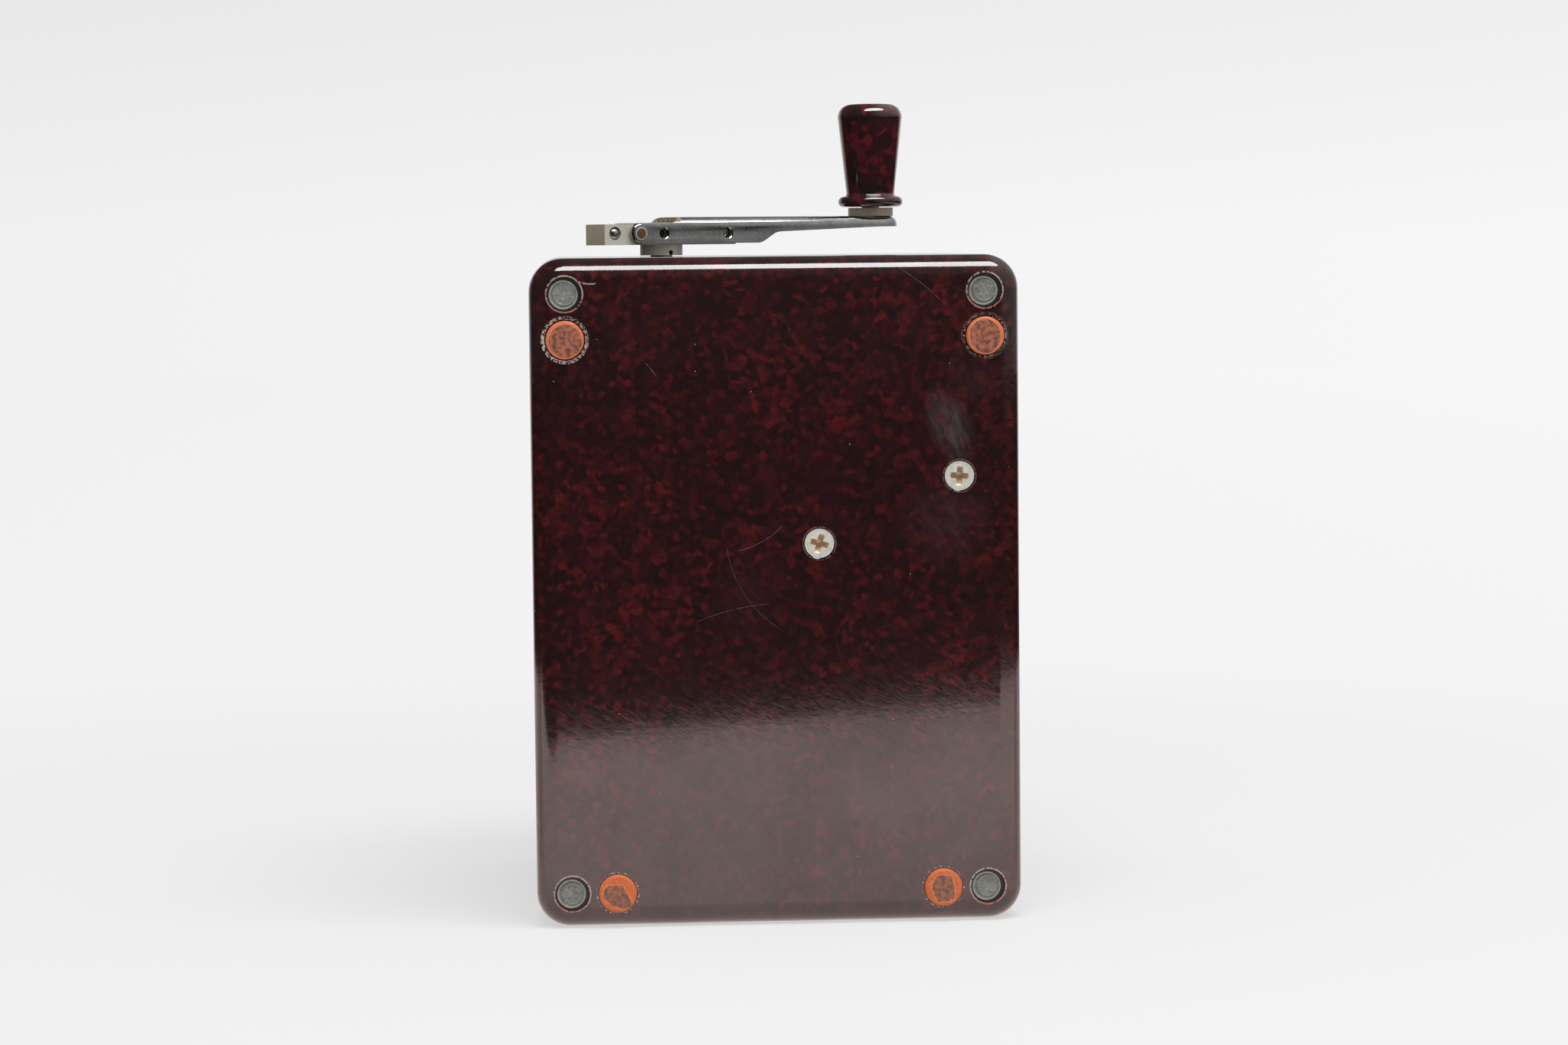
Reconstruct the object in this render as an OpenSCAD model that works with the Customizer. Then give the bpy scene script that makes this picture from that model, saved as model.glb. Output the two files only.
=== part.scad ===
// Hand cranked insulation tester: moulded case stood on its end, folding crank on the upper end.
// X runs across the case, Y from the back (with the feet) to the front panel, Z up along the case.
// The origin is the centre of the end face that the case stands on. Millimetres.

/* [Case] */
// Width of the case
case_w = 124; // [116:1:140]
// Height of the case, from the end it stands on to the crank end
case_h = 170; // [165:1:190]
// Depth of the moulded tub
tub_d = 98; // [97:1:110]
// Depth of the front panel moulding
panel_d = 14; // [13:0.5:18]
// Wall of the tub
wall = 4.5; // [4:0.1:5.5]
// Face thickness of the front panel
panel_wall = 4; // [3.5:0.1:5]
// Corner radius of the outline
corner_r = 8.6; // [7:0.1:11]
// Rounding of the back edge
edge_r = 5.8; // [3:0.1:6.5]
// Rounding of the front edge
panel_edge_r = 4; // [2:0.1:6]
// Thickness of the lip that locates the panel in the tub
lip_t = 2; // [1.5:0.1:3]
// Length of that lip
lip_h = 3; // [2:0.1:5]

/* [Fixings on the back] */
// Distance of the sealed screws from both edges
seal_inset = 9; // [8:0.1:10]
// Diameter of the sealed wells
well_bore = 8.8; // [8.2:0.1:10]
// Depth of the sealed wells
well_depth = 6.5; // [6:0.1:8]
// Depth of the seal's face below the back
seal_recess = 1.3; // [0.5:0.1:1.8]
// Outside diameter of the screw bosses inside the tub
boss_d = 14; // [13:0.5:18]
// Thickness of the boss floor under a screw head
boss_floor = 3.5; // [2.5:0.1:5]
// Distance of a foot from the edge beside it
foot_inset = 9; // [8:0.1:11]
// Distance of a foot from the end beside it
foot_along = 20.5; // [19:0.5:26]
// Diameter of the rubber feet
foot_d = 9.7; // [9:0.1:11]
// Height of the feet above the back
foot_h = 1.2; // [0.8:0.1:2.5]
// Depth of the foot pockets
foot_pocket = 3; // [2:0.1:3.2]
// Head diameter of the countersunk frame screws
csk_head = 7.45; // [7:0.05:8]
// Distance of the first frame screw from the middle of the case
frame_screw_a_x = 10.6; // [8:0.1:14]
// Distance of the first frame screw from the crank end
frame_screw_a_drop = 72.6; // [68:0.1:78]
// Distance of the second frame screw from the right side
frame_screw_b_inset = 15.7; // [12:0.1:20]
// Distance of the second frame screw from the crank end
frame_screw_b_drop = 55.9; // [53:0.1:62]

/* [Crank] */
// Distance of the crank shaft from the middle of the case, to the left
shaft_offset = 26.5; // [24:0.5:28]
// Distance of the crank shaft from the back
shaft_from_back = 76; // [75.5:0.5:77]
// Turn of the crank at rest, from the width direction
crank_turn = 26; // [0:1:359]
// Diameter of the crank shaft
shaft_d = 6; // [5:0.1:6.4]
// Length of the hub block
hub_l = 40; // [39:0.5:44]
// Width of the hub block
hub_w = 11; // [10:0.1:12]
// Height of the hub block
hub_h = 5.6; // [5.2:0.1:6]
// Diameter of the hub collar
collar_d = 11.5; // [10.5:0.1:14]
// Height of the hub block above the end face
collar_h = 3.1; // [3:0.1:5]
// Distance of the fold pin from the shaft
pin_offset = 9.75; // [9:0.05:10.5]
// Diameter of the fold pin
pin_d = 2.7; // [2.2:0.1:3]
// Distance of the detent balls from the shaft
ball_offset = 16.7; // [16:0.1:17.2]
// Diameter of the detent balls
ball_d = 3.4; // [3:0.1:3.8]
// How far a ball stands out of the hub
ball_out = 0.35; // [0.2:0.01:0.38]
// Diameter of the detent holes in the arm
detent_hole = 2.4; // [2:0.1:2.8]
// Chamfer round the mouths of the detent holes
detent_lead = 0.35; // [0.2:0.05:0.5]
// Sheet thickness of the arm
arm_t = 1.5; // [1.2:0.1:1.8]
// Side gap between the hub and the arm
arm_gap = 0.4; // [0.4:0.05:0.6]
// Radius of the arm's end round the fold pin
arm_end_r = 2.8; // [2.4:0.1:3]
// Rounding of that end's outer edge
arm_end_round = 0.8; // [0.4:0.1:1]
// Bend radius of the pressed arm
arm_bend = 2.4; // [1.9:0.1:2.5]
// Distance from the shaft to the start of the arm's web
web_start = 2.3; // [1:0.1:4]
// Distance from the shaft to the end of the deep flange
deep_end = 26; // [24:0.5:30]
// Length of the curve from the deep flange to the shallow one
sweep_l = 7; // [5:0.5:9]
// Height of the shallow flange after the curve
shallow_h = 4.1; // [3.5:0.1:5]
// Height of the flange round the knob end
tip_h = 2.9; // [2.6:0.1:3.4]
// Distance from the shaft to the knob axle
crank_r = 66; // [60:0.5:66.5]

/* [Knob] */
// Height of the knob
knob_h = 28.5; // [24:0.1:32]
// Diameter of the ring at its foot
knob_ring_d = 18; // [16.5:0.1:18.5]
// Height of that ring
knob_ring_h = 2.9; // [2.4:0.1:3.6]
// Diameter of the waist above the ring
knob_waist_d = 13.4; // [12:0.1:15]
// Diameter near the top
knob_top_d = 17.9; // [16:0.1:18.5]
// Rounding of the top edge
knob_top_r = 3.6; // [1.5:0.1:4]
// Diameter of the knob axle
axle_d = 5; // [4:0.1:6]
// Diameter of the bush under the knob
axle_bush_d = 12.5; // [10:0.1:14]
// Height of the bush under the knob
axle_bush_h = 2.3; // [1.5:0.1:3]

/* [Generator] */
// Distance of the rotor from the middle of the case
rotor_x = 20; // [18:0.5:21]
// Distance of the rotor from the back
rotor_from_back = 44; // [43:0.5:46]
// Diameter of the rotor magnet
rotor_d = 26; // [22:0.5:26.4]
// Air gap round the rotor
rotor_gap = 0.4; // [0.3:0.05:0.8]
// Height of the laminated core
core_h = 34; // [28:1:36]
// Distance of the core's lower face from the crank end
core_drop = 94; // [92:0.5:96]
// Width of the core
core_w = 42; // [41:0.5:44]
// Thickness of the frame's sheet
frame_t = 3; // [2.5:0.1:3]
// Distance of the lower frame flange from the crank end
frame_drop = 114; // [111:0.5:120]
// Distance of the gear plate from the crank end
gear_plate_drop = 46; // [45.5:0.5:48]
// Thickness of the gear plate and bridge
plate_t = 2.5; // [2:0.1:3]
// Clear height between gear plate and bridge
gear_room = 20.5; // [20:0.5:22]
// Gear module
gear_m = 0.9; // [0.88:0.005:0.92]
// Teeth on the crank's gear
drive_teeth = 44; // [41:1:46]
// Teeth on each pinion
pinion_teeth = 14; // [13:1:15]
// Teeth on the intermediate gear
lay_teeth = 60; // [57:1:62]
// Diameter of the inner shafts
inner_shaft_d = 5; // [4:0.1:5.4]

/* [Meter] */
// Distance of the pointer's pivot from the left side
meter_inset = 32; // [30:0.5:34]
// Distance of the pointer's pivot from the crank end
meter_drop = 75; // [75:0.5:80]
// Length of the pointer
pointer_l = 60; // [50:1:62]
// Width of the window
window_w = 46; // [40:1:46]
// Height of the window
window_h = 82; // [76:1:82]
// Distance of the window's centre from the right side
window_inset = 51; // [50:0.5:53]
// Thickness of the window glass
glass_t = 2; // [1.5:0.1:2.4]
// Outside diameter of the magnet ring
magnet_d = 44; // [42:0.5:46]
// Diameter of the iron core
iron_core_d = 14; // [12:0.5:14.5]

/* [Terminals] */
// Distance of each terminal from the middle of the case
terminal_x = 25; // [23:0.5:27]
// Height of the terminals
terminal_z = 22; // [21:0.5:23]
// Diameter of the plug sockets
socket_d = 4; // [4:0.1:4.2]
// Depth of the plug sockets
socket_depth = 14; // [10:0.5:14.5]
// Diameter of the threaded terminal posts
post_d = 8; // [7.4:0.1:8.6]
// Diameter of the terminal caps
cap_d = 14; // [13:0.5:16]
// Height of the terminal caps
cap_h = 11; // [10:0.5:11.5]

/* [Fits] */
// Radial play of a shaft in its bearing
run_fit = 0.05; // [0.02:0.01:0.08]
// Radial play of parts fitted together
fit = 0.1; // [0.05:0.01:0.15]
// Play round the lip of the panel
lip_gap = 0.25; // [0.15:0.05:0.4]
// Gap between a turning piece and the face beside it
end_gap = 0.25; // [0.15:0.05:0.3]
// Play between meshing teeth, on each gear
backlash = 0.28; // [0.24:0.02:0.32]

/* [Hidden] */
$fn = 64;

// Small amount by which a cut runs past the face it opens
cut = 1;
case_d = tub_d + panel_d;
half_w = case_w / 2;
shaft_x = -shaft_offset;
meter_x = meter_inset - half_w;
meter_z = case_h - meter_drop;
window_x = half_w - window_inset;
core_z = case_h - core_drop;
frame_z = case_h - frame_drop;
gear_plate_z = case_h - gear_plate_drop;
frame_screw_b_x = half_w - frame_screw_b_inset;

// Screw sizes: metric shanks and their heads
m4 = 4;
m4_head_d = 7;
m4_head_h = 2.6;
m3 = 3;
m3_head_d = 5.5;
m3_head_h = 2;
slot_w = 1;
slot_depth = 1.1;

// Corners of a rectangle inset from the outline, across and up
function corner_places(inset_x, inset_z) =
    [for (sx = [-1, 1], top = [0, 1]) [sx * (half_w - inset_x), top == 1 ? case_h - inset_z : inset_z]];
seal_places = corner_places(seal_inset, seal_inset);
foot_places = [
    for (sx = [-1, 1]) [sx * (half_w - foot_inset), case_h - foot_along],
    for (sx = [-1, 1]) [sx * (half_w - foot_along), foot_inset]];
frame_screw_places = [
    [frame_screw_a_x, case_h - frame_screw_a_drop],
    [frame_screw_b_x, case_h - frame_screw_b_drop]];

// Puts a shape measured from the case's back face into the object's frame
module from_back() {
    translate([0, -case_d / 2, 0]) children();
}

// Extrudes an outline drawn across and up from one depth to another
module depth(y0, y1) {
    translate([0, y1, 0]) rotate([90, 0, 0]) linear_extrude(y1 - y0) children();
}

// Cylinder that runs back to front at a place given across and up
module rod_y(place, y0, y1, d) {
    translate([place[0], y0, place[1]]) rotate([-90, 0, 0]) cylinder(h = y1 - y0, d = d);
}

// Cylinder that runs upwards at a place given across and from the back
module rod_z(place, z0, z1, d) {
    translate([place[0], place[1], z0]) cylinder(h = z1 - z0, d = d);
}

// Rectangle with round corners, centred across, standing on zero
module round_rect(w, h, r) {
    translate([-w / 2 + r, 0]) square([w - 2 * r, h]);
    translate([-w / 2, r]) square([w, h - 2 * r]);
    for (x = [-w / 2 + r, w / 2 - r], y = [r, h - r]) translate([x, y]) circle(r);
}

// Flat bar with round ends from one point to another
module strap(p, q, w) {
    run = q - p;
    translate(p) circle(d = w);
    translate(q) circle(d = w);
    translate(p) rotate(atan2(run[1], run[0])) translate([0, -w / 2]) square([norm(run), w]);
}

// Section through a moulding's edge: outward across, into the moulding upwards
module edge_section(rc, rf, d) {
    translate([0, rf]) square([rc, d - rf]);
    square([rc - rf, rf]);
    intersection() {
        translate([rc - rf, rf]) circle(rf);
        translate([rc - rf, 0]) square(rf);
    }
}

// Block with round corners and one face with a rounded edge, centred on its footprint
module soft_block(w, h, d, rc, rf) {
    linear_extrude(d) square([w - 2 * rc, h - 2 * rc], center = true);
    for (i = [0 : 3]) {
        reach = i % 2 == 0 ? w / 2 : h / 2;
        run = i % 2 == 0 ? h / 2 - rc : w / 2 - rc;
        rotate(90 * i) translate([reach - rc, run, 0]) rotate([90, 0, 0])
            linear_extrude(2 * run) edge_section(rc, rf, d);
        rotate(90 * i) translate([reach - rc, run, 0])
            rotate_extrude(angle = 90) edge_section(rc, rf, d);
    }
}

boss_top = well_depth + boss_floor;
foot_play = 0.1;
csk_angle_drop = (csk_head - m4) / 2;
tap_play = 0.03;
bush_wall = 1.5;
crank_bush_l = 11;
shaft_boss_d = 16;
end_inner = case_h - wall;
bush_top = case_h - fit;
bush_bottom = bush_top - crank_bush_l;
shaft_place = [shaft_x, shaft_from_back];

// Deep back half of the case, one moulding
module case_tub() {
    color([0.25, 0.05, 0.06]) from_back() difference() {
        union() {
            difference() {
                translate([0, 0, case_h / 2]) rotate([-90, 0, 0])
                    soft_block(case_w, case_h, tub_d, corner_r, edge_r);
                translate([0, 0, wall]) depth(wall, tub_d + cut)
                    round_rect(case_w - 2 * wall, case_h - 2 * wall, corner_r - wall);
            }
            intersection() {
                for (p = seal_places) rod_y(p, wall / 2, boss_top, boss_d);
                translate([0, 0, wall / 2]) depth(0, tub_d)
                    round_rect(case_w - wall, case_h - wall, corner_r - wall / 2);
            }
            rod_z(shaft_place, bush_bottom, end_inner + wall / 2, shaft_boss_d);
        }
        for (p = seal_places) {
            rod_y(p, -cut, well_depth, well_bore);
            rod_y(p, well_depth - cut, boss_top + cut, m4 + 4 * fit);
        }
        for (p = foot_places) rod_y(p, -cut, foot_pocket, foot_d + 2 * foot_play);
        for (p = frame_screw_places) {
            rod_y(p, -cut, wall + cut, m4 + 4 * fit);
            translate([p[0], 0, p[1]]) rotate([-90, 0, 0])
                cylinder(h = csk_angle_drop, d1 = csk_head + 4 * fit, d2 = m4 + 4 * fit);
        }
        rod_z(shaft_place, bush_bottom - cut, case_h + cut, shaft_d + 2 * bush_wall + 2 * fit);
    }
}

seal_play = 0.05;
seal_dish_d = 7.4;
seal_dish = 0.3;
seal_bottom = well_depth - m4_head_h;

// Sealing compound pressed over the heads of the case screws
module seal_plugs() {
    color([0.42, 0.42, 0.42]) from_back() for (p = seal_places) difference() {
        rod_y(p, seal_recess, seal_bottom, well_bore - 2 * seal_play);
        rod_y(p, seal_recess - cut, seal_recess + seal_dish, seal_dish_d);
    }
}

case_screw_l = 16;

// Four long screws that hold the tub to the pillars of the front panel
module case_screws() {
    color([0.7, 0.7, 0.68]) from_back() for (p = seal_places) difference() {
        union() {
            rod_y(p, seal_bottom, well_depth, m4_head_d);
            rod_y(p, seal_bottom, well_depth + case_screw_l, m4);
        }
        translate([p[0] - m4_head_d, seal_bottom - cut, p[1] - slot_w / 2])
            cube([2 * m4_head_d, slot_depth + cut, slot_w]);
    }
}

pillar_d = 8;
pillar_end = tub_d - lip_h;
stud_l = 8;

// Steel pillars that stand on the front panel and take the case screws
module panel_pillars() {
    color([0.72, 0.72, 0.7]) from_back() for (p = seal_places) difference() {
        union() {
            rod_y(p, boss_top, pillar_end, pillar_d);
            rod_y(p, boss_top, pillar_end + stud_l, m4);
        }
        rod_y(p, boss_top - cut, well_depth + case_screw_l + cut, m4 + 2 * tap_play);
    }
}

foot_round = 0.8;

// Rubber feet pressed into pockets of the back
module rubber_feet() {
    color([0.86, 0.35, 0.2]) from_back() for (p = foot_places)
        translate([p[0], foot_pocket, p[1]]) rotate([90, 0, 0]) rotate_extrude() {
            square([foot_d / 2, foot_pocket + foot_h - foot_round]);
            square([foot_d / 2 - foot_round, foot_pocket + foot_h]);
            intersection() {
                translate([foot_d / 2 - foot_round, foot_pocket + foot_h - foot_round]) circle(foot_round);
                translate([foot_d / 2 - foot_round, foot_pocket + foot_h - foot_round]) square(foot_round);
            }
        }
}

frame_boss_h = 3;
frame_boss_d = 9;
frame_screw_end = wall + frame_t + frame_boss_h;
csk_sink = 0.15;
cross_l = 5;
cross_w = 1.45;
cross_depth = 2.2;
cross_turn = [16, 4];

// Two countersunk cross head screws that hold the generator frame
module frame_screws() {
    color([0.8, 0.8, 0.76]) from_back() for (i = [0, 1]) translate([frame_screw_places[i][0], csk_sink,
        frame_screw_places[i][1]]) rotate([-90, 0, 0]) difference() {
        union() {
            cylinder(h = csk_angle_drop, d1 = csk_head, d2 = m4);
            cylinder(h = frame_screw_end - csk_sink, d = m4);
        }
        intersection() {
            cylinder(h = cross_depth, d1 = cross_l, d2 = cross_w);
            for (a = [0, 90]) rotate(a + cross_turn[i]) translate([-cross_l / 2, -cross_w / 2, -cut])
                cube([cross_l, cross_w, cross_depth + cut]);
        }
    }
}

// Flanged bush of the crank shaft, pressed into the end wall
module crank_bush() {
    color([0.72, 0.55, 0.28]) from_back() difference() {
        rod_z(shaft_place, bush_bottom, bush_top, shaft_d + 2 * bush_wall);
        rod_z(shaft_place, bush_bottom - cut, bush_top + cut, shaft_d + 2 * run_fit);
    }
}

panel_rim = wall + lip_gap + lip_t;
panel_inner = case_d - panel_wall;
panel_boss_d = 12;
glass_lap = 3;
window_r = 5;
glass_w = window_w + 2 * glass_lap;
glass_h = window_h + 2 * glass_lap;
meter_post_d = 7;
meter_post_inset = 14.5;
meter_post_rise = 34;
meter_post_x = [meter_post_inset - half_w, half_w - meter_post_inset];
meter_post_z = [meter_z - meter_post_rise, meter_z + meter_post_rise];
meter_posts = [for (x = meter_post_x, z = meter_post_z) [x, z]];
meter_plate_t = 3;
meter_plate_sink = 7;
meter_plate_front = tub_d - meter_plate_sink;
window_z0 = meter_z - window_h / 2;
terminals = [[-terminal_x, terminal_z], [terminal_x, terminal_z]];
post_shank_d = 6;

// Outline of the lip that fits the tub
module lip_outline() {
    gap = wall + lip_gap;
    translate([0, gap]) round_rect(case_w - 2 * gap, case_h - 2 * gap, corner_r - gap);
}

// Front panel with window, terminal holes, corner bosses and posts for the meter
module front_panel() {
    color([0.24, 0.05, 0.06]) from_back() difference() {
        union() {
            difference() {
                union() {
                    translate([0, case_d, case_h / 2]) rotate([90, 0, 0])
                        soft_block(case_w, case_h, panel_d, corner_r, panel_edge_r);
                    depth(pillar_end, tub_d + cut) lip_outline();
                }
                translate([0, 0, panel_rim]) depth(pillar_end - cut, panel_inner)
                    round_rect(case_w - 2 * panel_rim, case_h - 2 * panel_rim, corner_r - wall);
            }
            intersection() {
                for (p = seal_places) rod_y(p, pillar_end, panel_inner + cut, panel_boss_d);
                depth(pillar_end, case_d) lip_outline();
            }
            for (p = meter_posts) rod_y(p, meter_plate_front, panel_inner + cut, meter_post_d);
        }
        for (p = seal_places) rod_y(p, pillar_end - cut, pillar_end + stud_l + cut, m4 + 2 * tap_play);
        for (p = meter_posts)
            rod_y(p, meter_plate_front - cut, meter_plate_front + meter_screw_l, m3 + 2 * tap_play);
        for (p = terminals) rod_y(p, panel_inner - cut, case_d + cut, post_shank_d + 2 * fit);
        translate([window_x, 0, window_z0]) depth(panel_inner - cut, case_d + cut)
            round_rect(window_w, window_h, window_r);
        translate([window_x, 0, window_z0 - glass_lap - fit]) depth(panel_inner - cut, panel_inner + glass_t)
            round_rect(glass_w + 2 * fit, glass_h + 2 * fit, window_r);
    }
}

// Window glass, laid into a rebate behind the panel's face
module window_glass() {
    color([0.8, 0.88, 0.88, 0.35]) from_back() translate([window_x, 0, window_z0 - glass_lap])
        depth(panel_inner, panel_inner + glass_t) round_rect(glass_w, glass_h, window_r - fit);
}

glass_frame_t = 1;
glass_frame_lap = 2.4;

// Sheet frame that holds the glass in its rebate
module glass_frame() {
    color([0.5, 0.5, 0.5]) from_back() translate([window_x, 0, window_z0])
        depth(panel_inner - glass_frame_t, panel_inner) difference() {
            translate([0, -glass_lap - glass_frame_lap])
                round_rect(glass_w + 2 * glass_frame_lap, glass_h + 2 * glass_frame_lap, window_r);
            round_rect(window_w, window_h, window_r);
        }
}

rotor_place = [rotor_x, rotor_from_back];
frame_x0 = rotor_x - core_w / 2;
frame_margin = 6.5;
frame_right = frame_screw_b_x + frame_margin;
frame_top = gear_plate_z;
bearing_d = inner_shaft_d + 2 * bush_wall;
bearing_clear = 2;
core_spacer_d = 6;
core_hole = m3 + 4 * fit;
core_edge = 4;
leg_t = 8;
coil_t = 4;
coil_w = 24;
coil_clear = 0.5;
core_back = frame_screw_end + coil_t + coil_clear;
pole_reach = 18;
core_front = rotor_from_back + pole_reach;
frame_reach = core_front;
core_fix = [for (sx = [-1, 1], y = [core_back + core_edge, core_front - core_edge])
    [rotor_x + sx * (core_w / 2 - core_edge), y]];

// Bent steel frame that carries the generator on the back of the tub
module generator_frame() {
    color([0.6, 0.6, 0.62]) from_back() difference() {
        union() {
            translate([frame_x0, wall, frame_z])
                cube([frame_right - frame_x0, frame_t, frame_top - frame_z]);
            translate([frame_x0, wall, frame_z]) cube([core_w, frame_reach - wall, frame_t]);
            translate([frame_x0, wall, frame_top - plate_t]) cube([core_w, frame_reach - wall, plate_t]);
            for (p = frame_screw_places) rod_y(p, wall + frame_t / 2, frame_screw_end, frame_boss_d);
        }
        for (p = frame_screw_places) rod_y(p, wall - cut, frame_screw_end + cut, m4 + 2 * tap_play);
        rod_z(rotor_place, frame_z - cut, frame_z + frame_t + cut, bearing_d + 2 * fit);
        rod_z(rotor_place, frame_top - plate_t - cut, frame_top + cut, bearing_d + 2 * bearing_clear);
        for (p = core_fix) rod_z(p, frame_z - cut, frame_z + frame_t + cut, core_hole);
        for (x = wire_coil_x)
            rod_z([x, wire_coil_y], frame_z - cut, frame_z + frame_t + cut, wire_d + 4 * fit);
        for (p = core_fix) rod_z(p, frame_top - plate_t - cut, frame_top + cut, m3 + 2 * tap_play);
        for (p = plate_screw_places) rod_z(p, frame_top - plate_t - cut, frame_top + cut, m3 + 2 * tap_play);
    }
}

// Long screws that clamp the core between the frame's flanges
module core_screws() {
    color([0.7, 0.7, 0.68]) from_back() for (p = core_fix) {
        rod_z(p, frame_z - m3_head_h, frame_z, m3_head_d);
        rod_z(p, frame_z - m3_head_h, frame_top, m3);
    }
}

// Tubes that set the core's height between the flanges
module core_spacers() {
    color([0.72, 0.6, 0.35]) from_back() for (p = core_fix) difference() {
        union() {
            rod_z(p, frame_z + frame_t, core_z, core_spacer_d);
            rod_z(p, core_z + core_h, frame_top - plate_t, core_spacer_d);
        }
        rod_z(p, frame_z, frame_top, core_hole);
    }
}

coil_play = 0.15;
pole_split = 4;

// Laminated core with the rotor's bore and the leg that carries the coil
module stator_core() {
    color([0.45, 0.43, 0.42]) from_back() translate([0, 0, core_z]) linear_extrude(core_h) difference() {
        translate([rotor_x, core_back]) round_rect(core_w, core_front - core_back, core_edge / 2);
        translate(rotor_place) circle(d = rotor_d + 2 * rotor_gap);
        translate([rotor_x - coil_w / 2 - coil_play, core_back + leg_t])
            square([coil_w + 2 * coil_play, coil_t + 2 * coil_play]);
        translate([rotor_x - pole_split / 2, core_back + leg_t]) square([pole_split, core_front]);
        for (p = core_fix) translate(p) circle(d = core_hole);
    }
}

// Coil wound on the core's leg
module stator_coil() {
    color([0.62, 0.3, 0.14]) from_back() difference() {
        translate([rotor_x - coil_w / 2, core_back - coil_t, core_z - coil_t])
            cube([coil_w, leg_t + 2 * coil_t, core_h + 2 * coil_t]);
        translate([rotor_x - coil_w, core_back - coil_play, core_z - coil_play])
            cube([2 * coil_w, leg_t + 2 * coil_play, core_h + 2 * coil_play]);
    }
}

// Gear train: places of the axes from the tooth counts
mesh_a = gear_m * (drive_teeth + pinion_teeth) / 2;
mesh_b = gear_m * (lay_teeth + pinion_teeth) / 2;
to_rotor = rotor_place - shaft_place;
axis_run = norm(to_rotor);
axis_turn = atan2(to_rotor[1], to_rotor[0]);
lay_swing = acos((mesh_a * mesh_a + axis_run * axis_run - mesh_b * mesh_b) / (2 * mesh_a * axis_run));
mesh_a_turn = axis_turn - lay_swing;
lay_place = shaft_place + mesh_a * [cos(mesh_a_turn), sin(mesh_a_turn)];
to_pinion = rotor_place - lay_place;
mesh_b_turn = atan2(to_pinion[1], to_pinion[0]);
strap_w = 18;
rotor_strap_w = 28;
post_strap_w = 12;
post_clear = 4.8;
rear_post_reach = 16;
plate_screw_reach = 12;
post_reach = gear_m * lay_teeth / 2 + post_clear;
bridge_posts = [
    lay_place + post_reach * [cos(axis_turn + 90), sin(axis_turn + 90)],
    lay_place + post_reach * [cos(axis_turn - 90), sin(axis_turn - 90)],
    rotor_place + rear_post_reach * [cos(axis_turn - 20), sin(axis_turn - 20)]];
plate_screw_places = [for (a = [axis_turn + 70, axis_turn - 110])
    rotor_place + plate_screw_reach * [cos(a), sin(a)]];
gear_plate_top = gear_plate_z + plate_t;
bridge_z = gear_plate_top + gear_room;
bridge_top = bridge_z + plate_t;
post_d_gear = 6;

// Plate on the frame that carries the lower bearings of the gear train
module gear_plate() {
    color([0.78, 0.64, 0.36]) from_back() translate([0, 0, gear_plate_z])
        linear_extrude(plate_t) difference() {
        union() {
            strap(lay_place, rotor_place, rotor_strap_w);
            strap(rotor_place, bridge_posts[2], strap_w);
            for (i = [0, 1]) strap(lay_place, bridge_posts[i], post_strap_w);
        }
        for (p = [lay_place, rotor_place]) translate(p) circle(d = bearing_d + 2 * fit);
        for (p = bridge_posts) translate(p) circle(d = m3 + 2 * tap_play);
        for (p = plate_screw_places) translate(p) circle(d = m3 + 4 * fit);
    }
}

// Bridge above the gears with the upper bearings
module gear_bridge() {
    color([0.78, 0.64, 0.36]) from_back() translate([0, 0, bridge_z]) linear_extrude(plate_t) difference() {
        union() {
            strap(lay_place, shaft_place, strap_w);
            for (p = bridge_posts) strap(lay_place, p, post_strap_w);
        }
        translate(lay_place) circle(d = bearing_d + 2 * fit);
        translate(shaft_place) circle(d = shaft_d + 2 * bush_wall + 2 * fit);
        for (p = bridge_posts) translate(p) circle(d = m3 + 4 * fit);
    }
}

bridge_screw_l = 8;

// Pillars between the gear plate and the bridge
module bridge_pillars() {
    color([0.78, 0.64, 0.36]) from_back() for (p = bridge_posts) difference() {
        union() {
            rod_z(p, gear_plate_top, bridge_z, post_d_gear);
            rod_z(p, gear_plate_z, bridge_z, m3);
        }
        rod_z(p, bridge_z - bridge_screw_l, bridge_z + cut, m3 + 2 * tap_play);
    }
}

// Screws of the gear plate and of the bridge
module gear_screws() {
    color([0.7, 0.7, 0.68]) from_back() {
        for (p = bridge_posts) {
            rod_z(p, bridge_top, bridge_top + m3_head_h, m3_head_d);
            rod_z(p, bridge_top - bridge_screw_l, bridge_top + cut, m3);
        }
        for (p = plate_screw_places) {
            rod_z(p, gear_plate_top, gear_plate_top + m3_head_h, m3_head_d);
            rod_z(p, frame_top - plate_t, gear_plate_top + cut, m3);
        }
    }
}

// Bearing bush in a plate, at a place across and from the back
module plate_bush(p, z0, z1, bore) {
    difference() {
        rod_z(p, z0, z1, bore + 2 * bush_wall);
        rod_z(p, z0 - cut, z1 + cut, bore + 2 * run_fit);
    }
}

// Bronze bushes of the rotor, the intermediate shaft and the crank shaft
module shaft_bushes() {
    color([0.7, 0.48, 0.24]) from_back() {
        plate_bush(rotor_place, frame_z, frame_z + frame_t, inner_shaft_d);
        plate_bush(rotor_place, gear_plate_z, gear_plate_top, inner_shaft_d);
        plate_bush(lay_place, gear_plate_z, gear_plate_top, inner_shaft_d);
        plate_bush(lay_place, bridge_z, bridge_top, inner_shaft_d);
        plate_bush(shaft_place, bridge_z, bridge_top, shaft_d);
    }
}

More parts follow.
